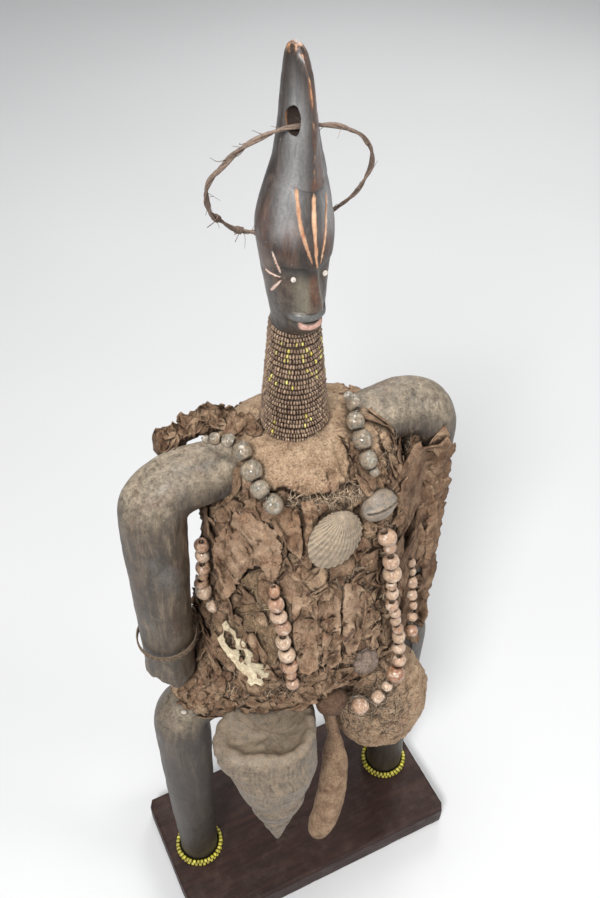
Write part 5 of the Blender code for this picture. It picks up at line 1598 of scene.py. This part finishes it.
def trade_beads():
    """The strands of old glass, shell and stone beads, each bead bored and threaded."""
    glass = bead_look("glass_bead_look", (0.170, 0.135, 0.090), (0.360, 0.345, 0.280), 0.10, 0.25,
                      (0.420, 0.290, 0.180), 0.6)
    stone = bead_look("stone_bead_look", (0.340, 0.130, 0.060), (0.800, 0.600, 0.430), 0.18, 0.0,
                      (0.480, 0.310, 0.190), 0.6)
    draw = np.random.default_rng(3)
    cord = Heap()
    for name, (knots, shares) in STRANDS.items():
        run = smooth_route(world(knots), 12)
        whole = np.linalg.norm(np.diff(run, axis=0), axis=1).sum()
        glassy = "shoulder" in name
        heap, done = Heap(), 0.0
        for i, share in enumerate(itertools.cycle(shares)):
            size = TRADE_BEAD * UNIT * share
            if i and done + size > whole + 0.5 * TRADE_BEAD * UNIT:
                break
            start, stop = along_route(run, done), along_route(run, done + size)
            middle, axis = along_route(run, done + size / 2), stop - start
            if np.linalg.norm(axis) < 1e-6:
                axis = run[-1] - run[-2]
            turn = np.linspace(-62, 62, 9)
            full = (0.53 if glassy else draw.uniform(0.43, 0.52)) * size
            long = min(0.5 * size, full * draw.uniform(0.8, 1.05)) if not glassy else full * 0.92
            profile = [(full * math.cos(math.radians(t)),
                        long * math.sin(math.radians(t)) / 0.883) for t in turn]
            profile += [(0.19 * size, long * 0.88), (0.13 * size, long * 0.5), (0.13 * size, -long * 0.5),
                        (0.19 * size, -long * 0.88)]
            points, faces = lathe(profile, 26)
            points = points * (1 + 0.06 * noise(points, size * 0.7, 50 + i, 2)[:, None])
            points = points * (1, draw.uniform(0.84, 1.0), 1)
            tilt = np.array(axis) / np.linalg.norm(axis) + draw.normal(0, 0.09, 3)
            tone = np.clip(draw.normal(0.5, 0.42), 0, 1)
            heap.add(oriented(points, middle + draw.normal(0, 0.0005, 3), tilt, draw.uniform(0, 6)), faces,
                     tone)
            done += size
        heap.piece(name + "_beads", glass if glassy else stone, "trade_beads", [name])
        last = run[-1] + (run[-1] - run[-4]) * 0.5
        cord.add(*tube(np.vstack([run, last]), 0.0005, 6), 0.4)
    cord.piece("bead_threads", fibre_look("thread_look", (0.060, 0.042, 0.030), (0.260, 0.190, 0.130)),
               "plant_cord")


def clay_frame(angle, height, out, spin):
    """A turn and a place on the clay: Z points out of it and Y up along it."""
    around = np.array((angle, angle + 0.04, angle - 0.04, angle, angle))
    up = np.array((height, height, height, height + 3, height - 3))
    here, right, left, above, below = clay_point(around, up)
    normal = np.cross(right - left, above - below)
    normal /= np.linalg.norm(normal)
    upward = (above - below) - normal * ((above - below) @ normal)
    upward /= np.linalg.norm(upward)
    turn = np.column_stack([np.cross(upward, normal), upward, normal])
    turn = turn @ np.array(Matrix.Rotation(spin, 3, "Z"))
    return turn, world(here + normal * out)


def cockle():
    """The ribbed shell on the chest, its ribs fanning from the hinge at the top."""
    reach, ribs, rows, columns = 14.8, 50, 66, 300
    turn, place = clay_frame(-0.018, 371.5, 0.6, math.radians(-18))
    share = np.linspace(0.02, 1, rows)[:, None]
    around = np.linspace(0, math.tau, columns, endpoint=False)[None, :]
    x, y = reach * share * np.sin(around), 1.12 * reach * share * np.cos(around)
    hinge = np.array((0.0, 1.12 * reach * 0.96))
    fan = np.arctan2(x - hinge[0], hinge[1] - y)
    away = np.hypot(x - hinge[0], hinge[1] - y) / (2 * reach)
    wave = np.cos(fan * ribs * 1.08)
    rib = np.sign(wave) * np.abs(wave) ** 0.8
    height = 0.62 * reach * np.cos(share * 1.35) + 0.27 * np.clip(away * 3, 0, 1) * rib
    height += 0.18 * np.sin(away * 46) * np.clip(away * 2, 0, 1)
    edge = smoothstep(0.80, 1.0, share)
    x, y = x * (1 + 0.014 * rib * edge), y * (1 + 0.014 * rib * edge)
    y = y + 0.35 * reach * (height / (0.62 * reach))
    grid = np.stack([x, y, height + 0 * x], axis=-1)[::-1]
    base = grid[0] * (0.97, 0.97, 1) - (0, 0, 1.7)
    deep = grid[0] * (0.5, 0.5, 1) - (0, 0, 1.7)
    points = np.concatenate([deep[None], base[None], grid])
    flat = points.reshape(-1, 3)
    flat = flat + 0.06 * noise(flat, 1.6, 4, 3)[:, None] * (0, 0, 1)
    flat = flat * UNIT @ turn.T + place
    corners, faces = closed_grid(flat.reshape(points.shape))
    bands = np.clip(0.5 + 0.5 * np.concatenate([np.zeros(2 * columns), rib[::-1].ravel()]), 0, 1) * 0.7
    look = shell_look("cockle_look", (0.150, 0.112, 0.078), (0.360, 0.285, 0.205), (0.460, 0.345, 0.235), 0.5,
                      True)
    piece("cockle", corners, faces, look, ["cockle_shell"], {"tone": np.append(bands, (0, 0))})


def cowrie():
    """The small shell with a toothed slit along it."""
    long = 23.3
    turn, place = clay_frame(0.419, 379, 1.8, math.radians(-14))
    rows, columns = 66, 88
    tilt = np.linspace(-math.pi / 2 + 0.02, math.pi / 2 - 0.02, rows)[:, None]
    around = np.linspace(0, math.tau, columns, endpoint=False)[None, :]
    x = 0.5 * long * np.sin(tilt) + 0 * around
    y = 0.35 * long * np.cos(tilt) * np.cos(around)
    z = 0.27 * long * np.cos(tilt) * np.sin(around)
    centre = 0.045 * long * np.sin(x / long * 3.2 + 0.4)
    far = np.abs(y - centre)
    slit = smoothstep(0.9, 0.35, far) * (z > 0) * smoothstep(0.48, 0.42, np.abs(x) / long)
    lips = bell(far - 1.3, 0.8) * (z > 0) * smoothstep(0.5, 0.4, np.abs(x) / long)
    teeth = bell(far - 0.9, 0.7) * np.maximum(0, np.sin(x * 4.6)) * (z > 0)
    z = z - 2.6 * slit + 0.5 * lips + 0.25 * teeth
    points = np.stack([x, y, z], axis=-1)
    flat = points.reshape(-1, 3)
    flat = (flat + 0.1 * noise(flat, 3.0, 6, 3)[:, None] * (0, 0, 1)) * UNIT @ turn.T + place
    corners, faces = closed_grid(flat.reshape(points.shape))
    look = shell_look("cowrie_look", (0.110, 0.095, 0.080), (0.290, 0.250, 0.205), (0.360, 0.265, 0.180),
                      0.35, True)
    tone = np.append(np.clip(0.5 * lips.ravel(), 0, 1) * 0.8, (0, 0))
    piece("cowrie", corners, faces, look, ["cowrie_shell"], {"tone": tone})


SNAIL_TIP = np.array((-50.0, -80.0, 146.0))
SNAIL_MOUTH = np.array((-38.0, -46.0, 240.0))
SNAIL_LENGTH, SNAIL_WIDTH = 104.3, 54.2
SNAIL_COIL = 0.55
# Height and width of the bowl in the mouth, as shares of the shell's length and rim
SNAIL_BOWL = ((0.958, 0.99), (0.975, 0.95), (0.984, 0.89), (0.983, 0.83), (0.974, 0.78), (0.955, 0.73),
              (0.932, 0.66), (0.912, 0.56), (0.898, 0.44), (0.890, 0.32), (0.888, 0.18), (0.888, 0.06))


def snail():
    """The big spiral shell, tip down, ribbed along its length, its mouth a bowl of packed clay."""
    columns, toward = 200, math.radians(83)
    share = np.concatenate([np.linspace(0.006, 0.86, 124), np.linspace(0.867, 0.94, 11)])
    around = np.linspace(0, math.tau, columns, endpoint=False)[None, :]
    s = share[:, None]
    cone = 0.5 * SNAIL_WIDTH * np.interp(s, (0, 0.18, 0.32, 0.46, 0.61, 0.86),
                                         (0.03, 0.37, 0.65, 0.84, 0.98, 0.97))
    turns = np.log(np.maximum(s, 0.012)) / math.log(SNAIL_COIL) + around / math.tau
    coil = turns % 1.0
    whorled = smoothstep(0.56, 0.42, s)
    suture = np.abs(2 * coil - 1) * whorled
    lobe = 0.30 * bell(np.arctan2(np.sin(around - 0.38), np.cos(around - 0.38)), 0.50)
    radius = cone * (1.0 - 0.15 * suture ** 3.0 - 0.05 * smoothstep(0.88, 0.97, suture))
    radius = radius * (1 + lobe * smoothstep(0.66, 0.88, s) + 0.025 * smoothstep(0.86, 0.94, s))
    ribs = np.sin((around + 0.12 * np.sin(coil * math.pi)) * 60) * (0.6 + 0.4 * np.sin(around * 17 + s * 9))
    radius = radius + 0.13 * ribs * smoothstep(0.30, 0.50, s) * smoothstep(0.90, 0.84, s)
    radius = radius + 0.10 * np.sin(turns * math.tau * 7) * smoothstep(0.6, 0.4, s)
    grid = np.stack([radius * np.cos(around), radius * np.sin(around), s * SNAIL_LENGTH + 0 * radius],
                    axis=-1)
    top, bowl = grid[-1], []
    for up, width in SNAIL_BOWL:
        lip = width * (1.0 + 0.05 * np.sin(around[0] * 3 + 1))
        ring = top * np.stack([lip, lip, 0 * lip], axis=1)
        ring[:, 2] = up * SNAIL_LENGTH
        bowl.append(ring)
    points = np.concatenate([grid, np.array(bowl)])
    reach = (points[..., 0] * math.cos(toward) + points[..., 1] * math.sin(toward)) / (0.5 * SNAIL_WIDTH)
    sunk = 0.10 * (1 + reach) * smoothstep(0.45, 0.92, points[..., 2] / SNAIL_LENGTH)
    points[..., 2] -= sunk * SNAIL_LENGTH
    flat = points.reshape(-1, 3)
    out = np.repeat(np.concatenate([share, np.full(len(bowl), 1.0)]), columns)
    normals = grid_normals(points).reshape(-1, 3)
    caked = smoothstep(0.84, 0.93, out + 0.05 * noise(flat, 10, 12, 3))
    relief = 0.30 * noise(flat, 9, 3, 3) + 0.10 * noise(flat, 2.4, 4, 3)
    relief += caked * (0.9 * noise(flat, 6, 8, 3) + 0.7 * (0.5 - pebbles(flat, 3.4, 9)[0]))
    flat = flat + normals * (relief * smoothstep(0, 0.05, out))[:, None]
    turn = (Vector(SNAIL_MOUTH) - Vector(SNAIL_TIP)).normalized().to_track_quat("Z", "Y").to_matrix()
    flat = flat @ np.array(turn).T + SNAIL_TIP
    corners, faces = closed_grid(world(flat).reshape(points.shape))
    bands = smoothstep(0.80, 1.0, suture) * smoothstep(0.02, 0.1, s) * 0.9
    bands = np.maximum(bands, (0.16 + 0.22 * ribs) * smoothstep(0.25, 0.5, s))
    tone = np.concatenate([bands.ravel(), np.full(len(bowl) * columns, 0.30), (0, 0)])
    look = shell_look("snail_look", (0.045, 0.033, 0.024), (0.170, 0.130, 0.092), (0.270, 0.200, 0.132), 0.42,
                      True)
    piece("snail", corners, faces, look, ["snail_shell"], {"tone": tone})


def long_pod():
    """The long dry pod beside the snail shell, wrinkled lengthwise, on its stalk."""
    foot, lean = np.array((-14.5, -63.5, 79.0)), np.array((16.5, 13.5, 81.0))
    length, radius = 100.3, 9.4
    lean = lean / np.linalg.norm(lean)
    bow = np.array((3.0, -4.0, 0.0))
    share = np.concatenate([[0.0, 0.008, 0.02, 0.04, 0.065], np.linspace(0.09, 1, 70)])
    width = np.interp(share, (0, 0.05, 0.15, 0.35, 0.6, 0.82, 0.94, 1.0),
                      (0.10, 0.66, 0.88, 1.0, 0.98, 0.84, 0.6, 0.45))
    route = foot + lean * length * share[:, None] + bow * np.sin(math.pi * share)[:, None]
    root = np.array((0.0, -38.0, 222.0))
    stalk = np.linspace(0, 1, 18)[1:]
    route = np.vstack([route, route[-1] + (root - route[-1]) * stalk[:, None]])
    width = np.concatenate([width, np.interp(stalk, (0, 0.35, 1.0), (0.45, 0.40, 0.5))])
    sides = 72
    corners, faces = tube(world(route), width * radius * UNIT, sides)
    out = away_from(world(route), corners, sides)
    relief = 0.45 * noise(corners * (1, 1, 0.16), 0.0045, 5, 3) + 0.35 * noise(corners, 0.012, 6, 2)
    corners = corners + out * relief[:, None] * MM
    look = hide("pod_look", (0.100, 0.056, 0.034), (0.330, 0.205, 0.125), (0.520, 0.355, 0.225))
    piece("dry_pod", corners, faces, look, ["pod"], {"tone": np.full(len(corners), 0.3)})


def lump(name, centre, sizes, spin, look, stands_for, relief, rows=70, columns=90, even=0.0):
    """A rounded thing; relief gives its dents in millimetres and the painted shade of its pits at points,
    even its smooth tone.
    """
    tilt = np.linspace(-math.pi / 2 + 0.03, math.pi / 2 - 0.03, rows)[:, None]
    around = np.linspace(0, math.tau, columns, endpoint=False)[None, :]
    sphere = np.stack([np.cos(tilt) * np.cos(around), np.cos(tilt) * np.sin(around),
                       np.sin(tilt) + 0 * around], axis=-1)
    flat = sphere.reshape(-1, 3) * np.array(sizes)
    turn = np.array(Matrix.Rotation(math.radians(spin), 3, "Y"))
    flat = world(flat @ turn.T + np.array(centre))
    normals = grid_normals(flat.reshape(sphere.shape)).reshape(-1, 3)
    depth, pit_shade = relief(flat)
    corners, faces = closed_grid((flat + normals * depth[:, None] * MM).reshape(sphere.shape))
    plain = np.zeros(len(corners))
    tones = {"pit_shade": np.append(pit_shade, (0, 0)), "smooth": plain + even, "tone": plain, "pouch": plain}
    return piece(name, corners, faces, look, stands_for, tones)


def earth_relief(points):
    """Rough caked earth, with painted shade in its deepest dents."""
    near, seam, _ = pebbles(points, 0.0055, 71)
    depth = 1.1 * noise(points, 0.012, 72, 3) + 1.1 * np.clip(0.5 - near, -0.2, 0.5) - 0.6 * bell(seam, 0.1)
    depth += 0.35 * noise(points, 0.0022, 73, 2)
    return depth, smoothstep(-0.8, -2.2, depth)


def nut_relief(points):
    """A nut's nearly smooth skin."""
    return 0.25 * noise(points, 0.004, 81, 3), np.zeros(len(points))


def lumps():
    """The caked bundle at the hip, the nut and the pale resin lump."""
    earth = dusty_clay()
    lump("hip_bundle_clay", (46, -34, 174), (32, 25, 52), -6, earth, ["hip_bundle"],
         earth_relief, 112, 130, 0.6)
    nut = hide("nut_look", (0.060, 0.031, 0.019), (0.180, 0.100, 0.060), (0.290, 0.195, 0.130))
    lump("nut", (-3, -56, 236), (9.5, 8, 10), 0, nut, ["brown_nut"], nut_relief)
    pale = hide("resin_look", (0.130, 0.090, 0.070), (0.330, 0.250, 0.200), (0.360, 0.270, 0.205))
    lump("pale_lump", (15, -57, 270), (9.5, 9, 9.5), 0, pale, ["resin_lump"], earth_relief)


# Torn leather, husk and fibre, in pixels of the photograph

CHEST_FLAP = ((237, 514), (248, 513), (257, 518), (268, 524), (276, 531), (281, 543), (282, 555), (281, 567),
              (280, 577), (276, 583), (270, 580), (266, 572), (261, 568), (254, 566), (247, 569), (241, 577),
              (236, 588), (231, 597), (226, 596), (222, 585), (219, 575), (214, 563), (212, 551), (216, 539),
              (223, 529), (229, 519))
HEART_FLAP = ((272, 512), (280, 505), (290, 508), (299, 515), (301, 528), (303, 545), (300, 560), (292, 552),
              (284, 543), (277, 532), (272, 522))
STRIP = ((301, 502), (312, 500), (318, 508), (317, 528), (318, 545), (314, 556), (306, 553), (304, 535),
         (302, 518))
KNOT = ((241, 502), (252, 498), (264, 503), (273, 512), (270, 522), (258, 519), (246, 520), (240, 512))
PATCH = ((304, 559), (313, 562), (319, 569), (321, 584), (313, 588), (304, 596), (311, 603), (313, 613),
         (302, 610), (290, 603), (281, 592), (279, 580), (286, 575), (295, 572))
FOLDS = (
    ((293, 588), (304, 584), (316, 590), (318, 612), (317, 640), (319, 668), (309, 676), (298, 670),
     (294, 645), (292, 615)),
    ((321, 588), (331, 583), (340, 590), (341, 615), (340, 640), (341, 662), (332, 668), (323, 662),
     (320, 636), (319, 610)),
    ((344, 584), (356, 582), (366, 590), (366, 612), (362, 634), (357, 650), (348, 656), (343, 640),
     (343, 612)),
)
SHARD = ((221.4, 623.6), (225.9, 621.0), (230.0, 625.8), (234.9, 630.6), (237.4, 637.1), (242.9, 640.3),
         (247.1, 645.1), (248.7, 649.9), (252.5, 653.1), (255.1, 659.5), (258.9, 662.7), (263.1, 664.3),
         (268.5, 669.1), (270.1, 673.9), (266.3, 677.1), (262.1, 678.7), (264.4, 682.6), (260.5, 685.1),
         (255.7, 683.8), (250.9, 685.1), (247.1, 681.9), (248.3, 677.1), (242.9, 673.9), (238.1, 669.1),
         (234.9, 662.7), (231.0, 659.5), (226.9, 654.7), (223.7, 649.9), (219.5, 643.5), (216.9, 638.7),
         (220.4, 635.5), (223.7, 630.6))
SHARD_HOLES = (((224.6, 630.0), (230.1, 630.6), (233.3, 635.5), (234.9, 640.3), (236.5, 645.1),
                (238.1, 649.2), (234.2, 649.9), (229.1, 647.3), (225.9, 641.9), (223.7, 637.1)),
               ((239.7, 649.2), (243.8, 649.9), (246.1, 653.1), (245.1, 657.9), (242.9, 661.1),
                (240.3, 659.5), (241.3, 655.6), (239.0, 653.1)))
ARM_STRIPS = (
    ((395, 466), (404, 464), (414, 471), (424, 481), (434, 492), (436, 501), (429, 503), (419, 495),
     (409, 484), (399, 475)),
    ((405, 510), (412, 510), (418, 520), (425, 532), (425, 546), (421, 560), (414, 566), (407, 556),
     (406, 543), (404, 528)),
    ((424, 480), (432, 487), (438, 499), (437, 519), (434, 538), (430, 560), (425, 560), (426, 540),
     (427, 517), (424, 498)),
    ((410, 582), (419, 586), (427, 598), (428, 612), (424, 622), (418, 617), (414, 603), (409, 594)),
)
ARM_HOLES = (((407, 488), (413, 491), (417, 501), (415, 510), (409, 506), (406, 497)),
             ((413, 563), (421, 568), (422, 577), (416, 580), (411, 573)))
TANGLES = (
    (((286, 497), (318, 499), (345, 492), (364, 480), (368, 492), (348, 504), (320, 510), (290, 508)), 200,
     15, 0.17, 1.8, None),
    (((318, 568), (374, 566), (376, 600), (368, 626), (340, 628), (318, 612)), 260, 20, 0.17, 2.2, None),
    (((386, 440), (414, 440), (414, 465), (388, 466)), 150, 16, 0.16, 2.0, None),
    (((296, 676), (356, 640), (392, 664), (384, 716), (330, 722), (296, 712)), 260, 18, 0.18, 2.4, None),
    (((240, 684), (300, 680), (298, 712), (250, 716)), 120, 16, 0.18, 1.8, None),
    (((200, 528), (218, 530), (222, 600), (204, 620)), 90, 18, 0.18, 1.6, 85),
    (((380, 500), (404, 500), (404, 640), (384, 640)), 200, 18, 0.17, 1.8, 80),
    (((272, 560), (312, 556), (312, 600), (278, 600)), 110, 14, 0.17, 1.5, None),
    (((340, 690), (410, 690), (412, 735), (350, 742)), 190, 16, 0.17, 1.8, None),
    (((240, 498), (286, 498), (286, 520), (240, 520)), 130, 13, 0.16, 1.4, None),
    (((225, 500), (372, 495), (376, 690), (220, 690)), 300, 17, 0.15, 1.6, None),
    (((204, 610), (232, 616), (262, 700), (214, 700)), 120, 16, 0.16, 1.8, None),
)


def leather(carrier, around):
    """Every torn sheet on the dress and arm."""
    brown = hide("leather_look", (0.095, 0.048, 0.027), (0.310, 0.178, 0.102), (0.520, 0.350, 0.220))
    dark = hide("dark_hide_look", (0.060, 0.030, 0.018), (0.215, 0.118, 0.068), (0.430, 0.285, 0.180))
    husk = hide("husk_look", (0.150, 0.080, 0.045), (0.430, 0.262, 0.160), (0.600, 0.420, 0.280))
    bone = shell_look("shard_look", (0.520, 0.420, 0.260), (0.820, 0.720, 0.500), (0.450, 0.330, 0.210), 0.55)
    flap("chest_flap", CHEST_FLAP, husk, carrier, lift=2.2, curl=2.2, thick=1.3, crumple=1.3, soften=14,
         ragged=2.6,
         stands_for=["chest_leather"], seed=1, spacing=1.1)
    flap("heart_flap", HEART_FLAP, brown, carrier, lift=1.1, curl=2.0, thick=1.0, crumple=1.2, seed=2,
         spacing=1.2)
    flap("narrow_strip", STRIP, brown, carrier, lift=0.7, curl=1.4, thick=0.9, crumple=1.4, seed=3,
         spacing=1.1)
    flap("knotted_scrap", KNOT, husk, carrier, lift=0.8, curl=1.5, thick=1.0, crumple=2.4, seed=4,
         spacing=1.1)
    flap("woven_patch", PATCH, husk, carrier, lift=0.7, curl=1.0, thick=0.8, crumple=1.1, seed=5,
         spacing=1.2)
    for i, outline in enumerate(FOLDS):
        flap(f"front_fold_{i + 1}", outline, husk, carrier, lift=1.0, curl=1.4, thick=1.0, crumple=1.8,
             seed=6 + i, spacing=1.3)
    flap("shard", SHARD, bone, carrier, lift=1.3, curl=0.6, thick=1.6, crumple=0.45,
         ragged=0.9, soften=40,
         holes=SHARD_HOLES, stands_for=["cream_shard"], seed=10, spacing=1.2)
    for i, outline in enumerate(ARM_STRIPS):
        flap(f"arm_strip_{i + 1}", outline, (brown, husk)[i % 2], carrier, lift=2.6, curl=2.4,
             thick=1.3,
             crumple=1.8, seed=14 + i, spacing=1.3, ragged=1.6)
    outline = [(-22, -380), (-14, -386), (-6, -380), (2, -384), (9, -374), (10, -350), (12, -318), (9, -290),
               (11, -262), (7, -246), (4, -234), (-2, -246), (-6, -258), (-9, -240), (-14, -231), (-18, -245),
               (-22, -262), (-24, -300), (-21, -330), (-24, -362)]
    holes = [[carrier.limb_spot(at) for at in hole] for hole in ARM_HOLES]
    flap("arm_hide", outline, dark, carrier, "limb", lift=0.9, curl=1.6, thick=1.1, crumple=2.0,
         ragged=2.2,
         holes=holes, stands_for=["arm_leather"], seed=20, spacing=1.5)
    for i, (left, right, top, low) in enumerate((
            (-262, -205, -804, -730), (-190, -130, -740, -640), (-290, -240, -640, -520),
            (150, 215, -760, -640),
            (225, 300, -690, -560), (130, 190, -560, -450), (-200, -140, -560, -470), (245, 312, -500, -420),
            (-300, -230, -480, -410), (60, 110, -760, -700))):
        turn = np.linspace(0, math.tau, 13)[:-1]
        across, along = (right - left) / 2, (low - top) / 2
        outline = [(left + across + across * math.sin(t) * (0.85 + 0.15 * math.sin(3 * t + i)),
                    top + along - along * math.cos(t) * (0.85 + 0.15 * math.sin(2 * t + i * 2)))
                   for t in turn]
        flap(f"back_flap_{i + 1}", outline, (brown, dark, husk)[i % 3], around, "round", lift=0.8,
             curl=2.2,
             thick=1.0, crumple=1.6, ragged=3.0, seed=30 + i, spacing=3.6)


def shoulder_roll():
    """The crumpled roll behind the shoulder on the viewer's left."""
    knots = [(-66, 20, 400), (-54, 23, 404), (-40, 25, 406), (-26, 26, 403), (-12, 26, 398)]
    run = smooth_route(world(knots), 16)
    share = np.linspace(0, 1, len(run))
    radii = (6.4 + 1.2 * np.sin(share * 14)) * np.minimum(1, 0.35 + 6 * np.minimum(share, 1 - share)) * MM
    sides = 72
    corners, faces = tube(run, radii, sides)
    out = away_from(run, corners, sides)
    relief = 1.3 * np.abs(noise(corners * (1, 1, 0.5), 0.007, 5, 4)) + 0.6 * noise(corners, 0.003, 6, 3) - 0.5
    look = hide("scrap_look", (0.050, 0.028, 0.018), (0.170, 0.100, 0.062), (0.310, 0.210, 0.140))
    piece("shoulder_roll", corners + out * relief[:, None] * MM, faces, look,
          ["shoulder_scraps"],
          {"tone": np.full(len(corners), 0.3)})


def loose_ends(carrier):
    """Threads, twigs and pale chips that lie on the dress."""
    draw = np.random.default_rng(23)
    pale, brown = Heap(), Heap()
    for route, radius, heap, tone in (
            (((228, 410), (216, 404), (204, 399), (200, 390)), 0.45, brown, 0.5),
            (((195, 610), (198, 622), (201, 634), (203, 646)), 0.35, brown, 0.7),
            (((411, 625), (409, 636), (412, 645), (410, 653)), 0.40, brown, 0.7),
            (((352, 697), (360, 696), (368, 700), (377, 706)), 0.35, pale, 0.8),
            (((278, 580), (288, 572), (298, 563), (308, 553)), 0.90, brown, 0.2),
            (((353, 629), (346, 639), (338, 650), (331, 659)), 1.20, brown, 0.35),
            (((288, 655), (284, 664), (285, 676), (290, 688)), 0.30, pale, 0.6),
            (((246, 690), (262, 700), (280, 702)), 0.60, brown, 0.4)):
        run = []
        for spot in smooth_route(np.array(route, float), 5):
            start, way, reach = carrier.seen(spot)
            if not math.isnan(reach):
                run.append(start + way * (reach - (radius + 0.5) * MM))
        if len(run) > 3:
            heap.add(*tube(np.array(run), radius * MM * np.linspace(1.1, 0.7, len(run)), 8), tone)
    for spot, size in (((324, 727), 2.0), ((342, 750), 1.5), ((347, 753), 1.4), ((184, 712), 2.1),
                       ((333, 738), 1.1),
                       ((300, 556), 1.0), ((366, 648), 1.2), ((251, 700), 1.3)):
        start, way, reach = carrier.seen(spot)
        if not math.isnan(reach):
            points, faces = ball(draw, size * MM, 0.45, 0.12)
            pale.add(oriented(points, start + way * (reach - 0.3 * size * MM), -way, draw.uniform(0, 6)),
                     faces, 0.9)
    pale.piece("pale_chips", fibre_look("chip_look", (0.33, 0.27, 0.21), (0.66, 0.60, 0.52)), "cream_shard")
    brown.piece("twigs_and_threads", fibre_look("twig_look", (0.075, 0.036, 0.022), (0.230, 0.160, 0.110)),
                "plant_cord")


# Stage

def stage():
    """Pale floor, pale world, soft lights and the camera of the photograph."""
    bpy.ops.mesh.primitive_plane_add(size=8)
    floor = bpy.context.object
    floor.name = "floor"
    look = Look("floor_look", Roughness=0.9)
    floor.data.materials.append(look.finish(look.ramp(look.grain(0.6, 2), (0.3, (0.60, 0.60, 0.60)),
                                                      (0.7, (0.63, 0.63, 0.63)))))
    pale = bpy.data.worlds.new("studio")
    bpy.context.scene.world = pale
    pale.use_nodes = True
    background = pale.node_tree.nodes["Background"]
    background.inputs["Color"].default_value = (0.80, 0.82, 0.85, 1)
    background.inputs["Strength"].default_value = 0.26
    middle = Vector((0, 0, 0.34))
    for name, place, size, power in (
            ("key", (-0.85, -0.90, 1.60), 0.50, 34), ("fill", (1.25, -1.00, 1.05), 0.8, 12),
            ("top", (0.00, 0.05, 2.1), 0.8, 20), ("rim", (0.9, 1.2, 1.1), 0.8, 9)):
        light = bpy.data.lights.new(name, "AREA")
        light.shape, light.size, light.energy = "DISK", size, power
        lamp = linked(name, light)
        lamp.location = place
        lamp.rotation_mode = "QUATERNION"
        lamp.rotation_quaternion = (middle - Vector(place)).to_track_quat("-Z", "Y")
    camera = bpy.data.cameras.new("camera")
    camera.lens, camera.sensor_width = 36 * FOCAL / PICTURE[1], 36
    camera.clip_start, camera.clip_end = 0.02, 50
    view = linked("camera", camera)
    turn = np.column_stack([RIGHT, -DOWN, -AHEAD])
    view.matrix_world = Matrix.Translation(Vector(EYE)) @ Matrix(turn.tolist()).to_4x4()
    bpy.context.scene.camera = view
    bpy.context.scene.view_settings.view_transform = "Standard"


def build():
    """Makes every piece."""
    eye_inlays(wood_head())
    body = body_carving()
    display_board()
    neck_beads()
    ankle_rings()
    hoop()
    arm_band()
    clay = clay_body()
    trade_beads()
    cockle()
    cowrie()
    snail()
    long_pod()
    lumps()
    shoulder_roll()
    carrier = Carrier([clay, body, bpy.data.objects["hip_bundle_clay"], bpy.data.objects["shoulder_roll"]])
    around = Carrier([clay])
    leather(carrier, around)
    scraps(carrier, around)
    crumbs(around)
    fibres("loose_fibres", TANGLES, carrier, fibre_look("fibre_look", (0.050, 0.030, 0.020),
                                                        (0.680, 0.520, 0.360)),
           "plant_cord", seed=31)
    loose_ends(carrier)
    stage()


build()
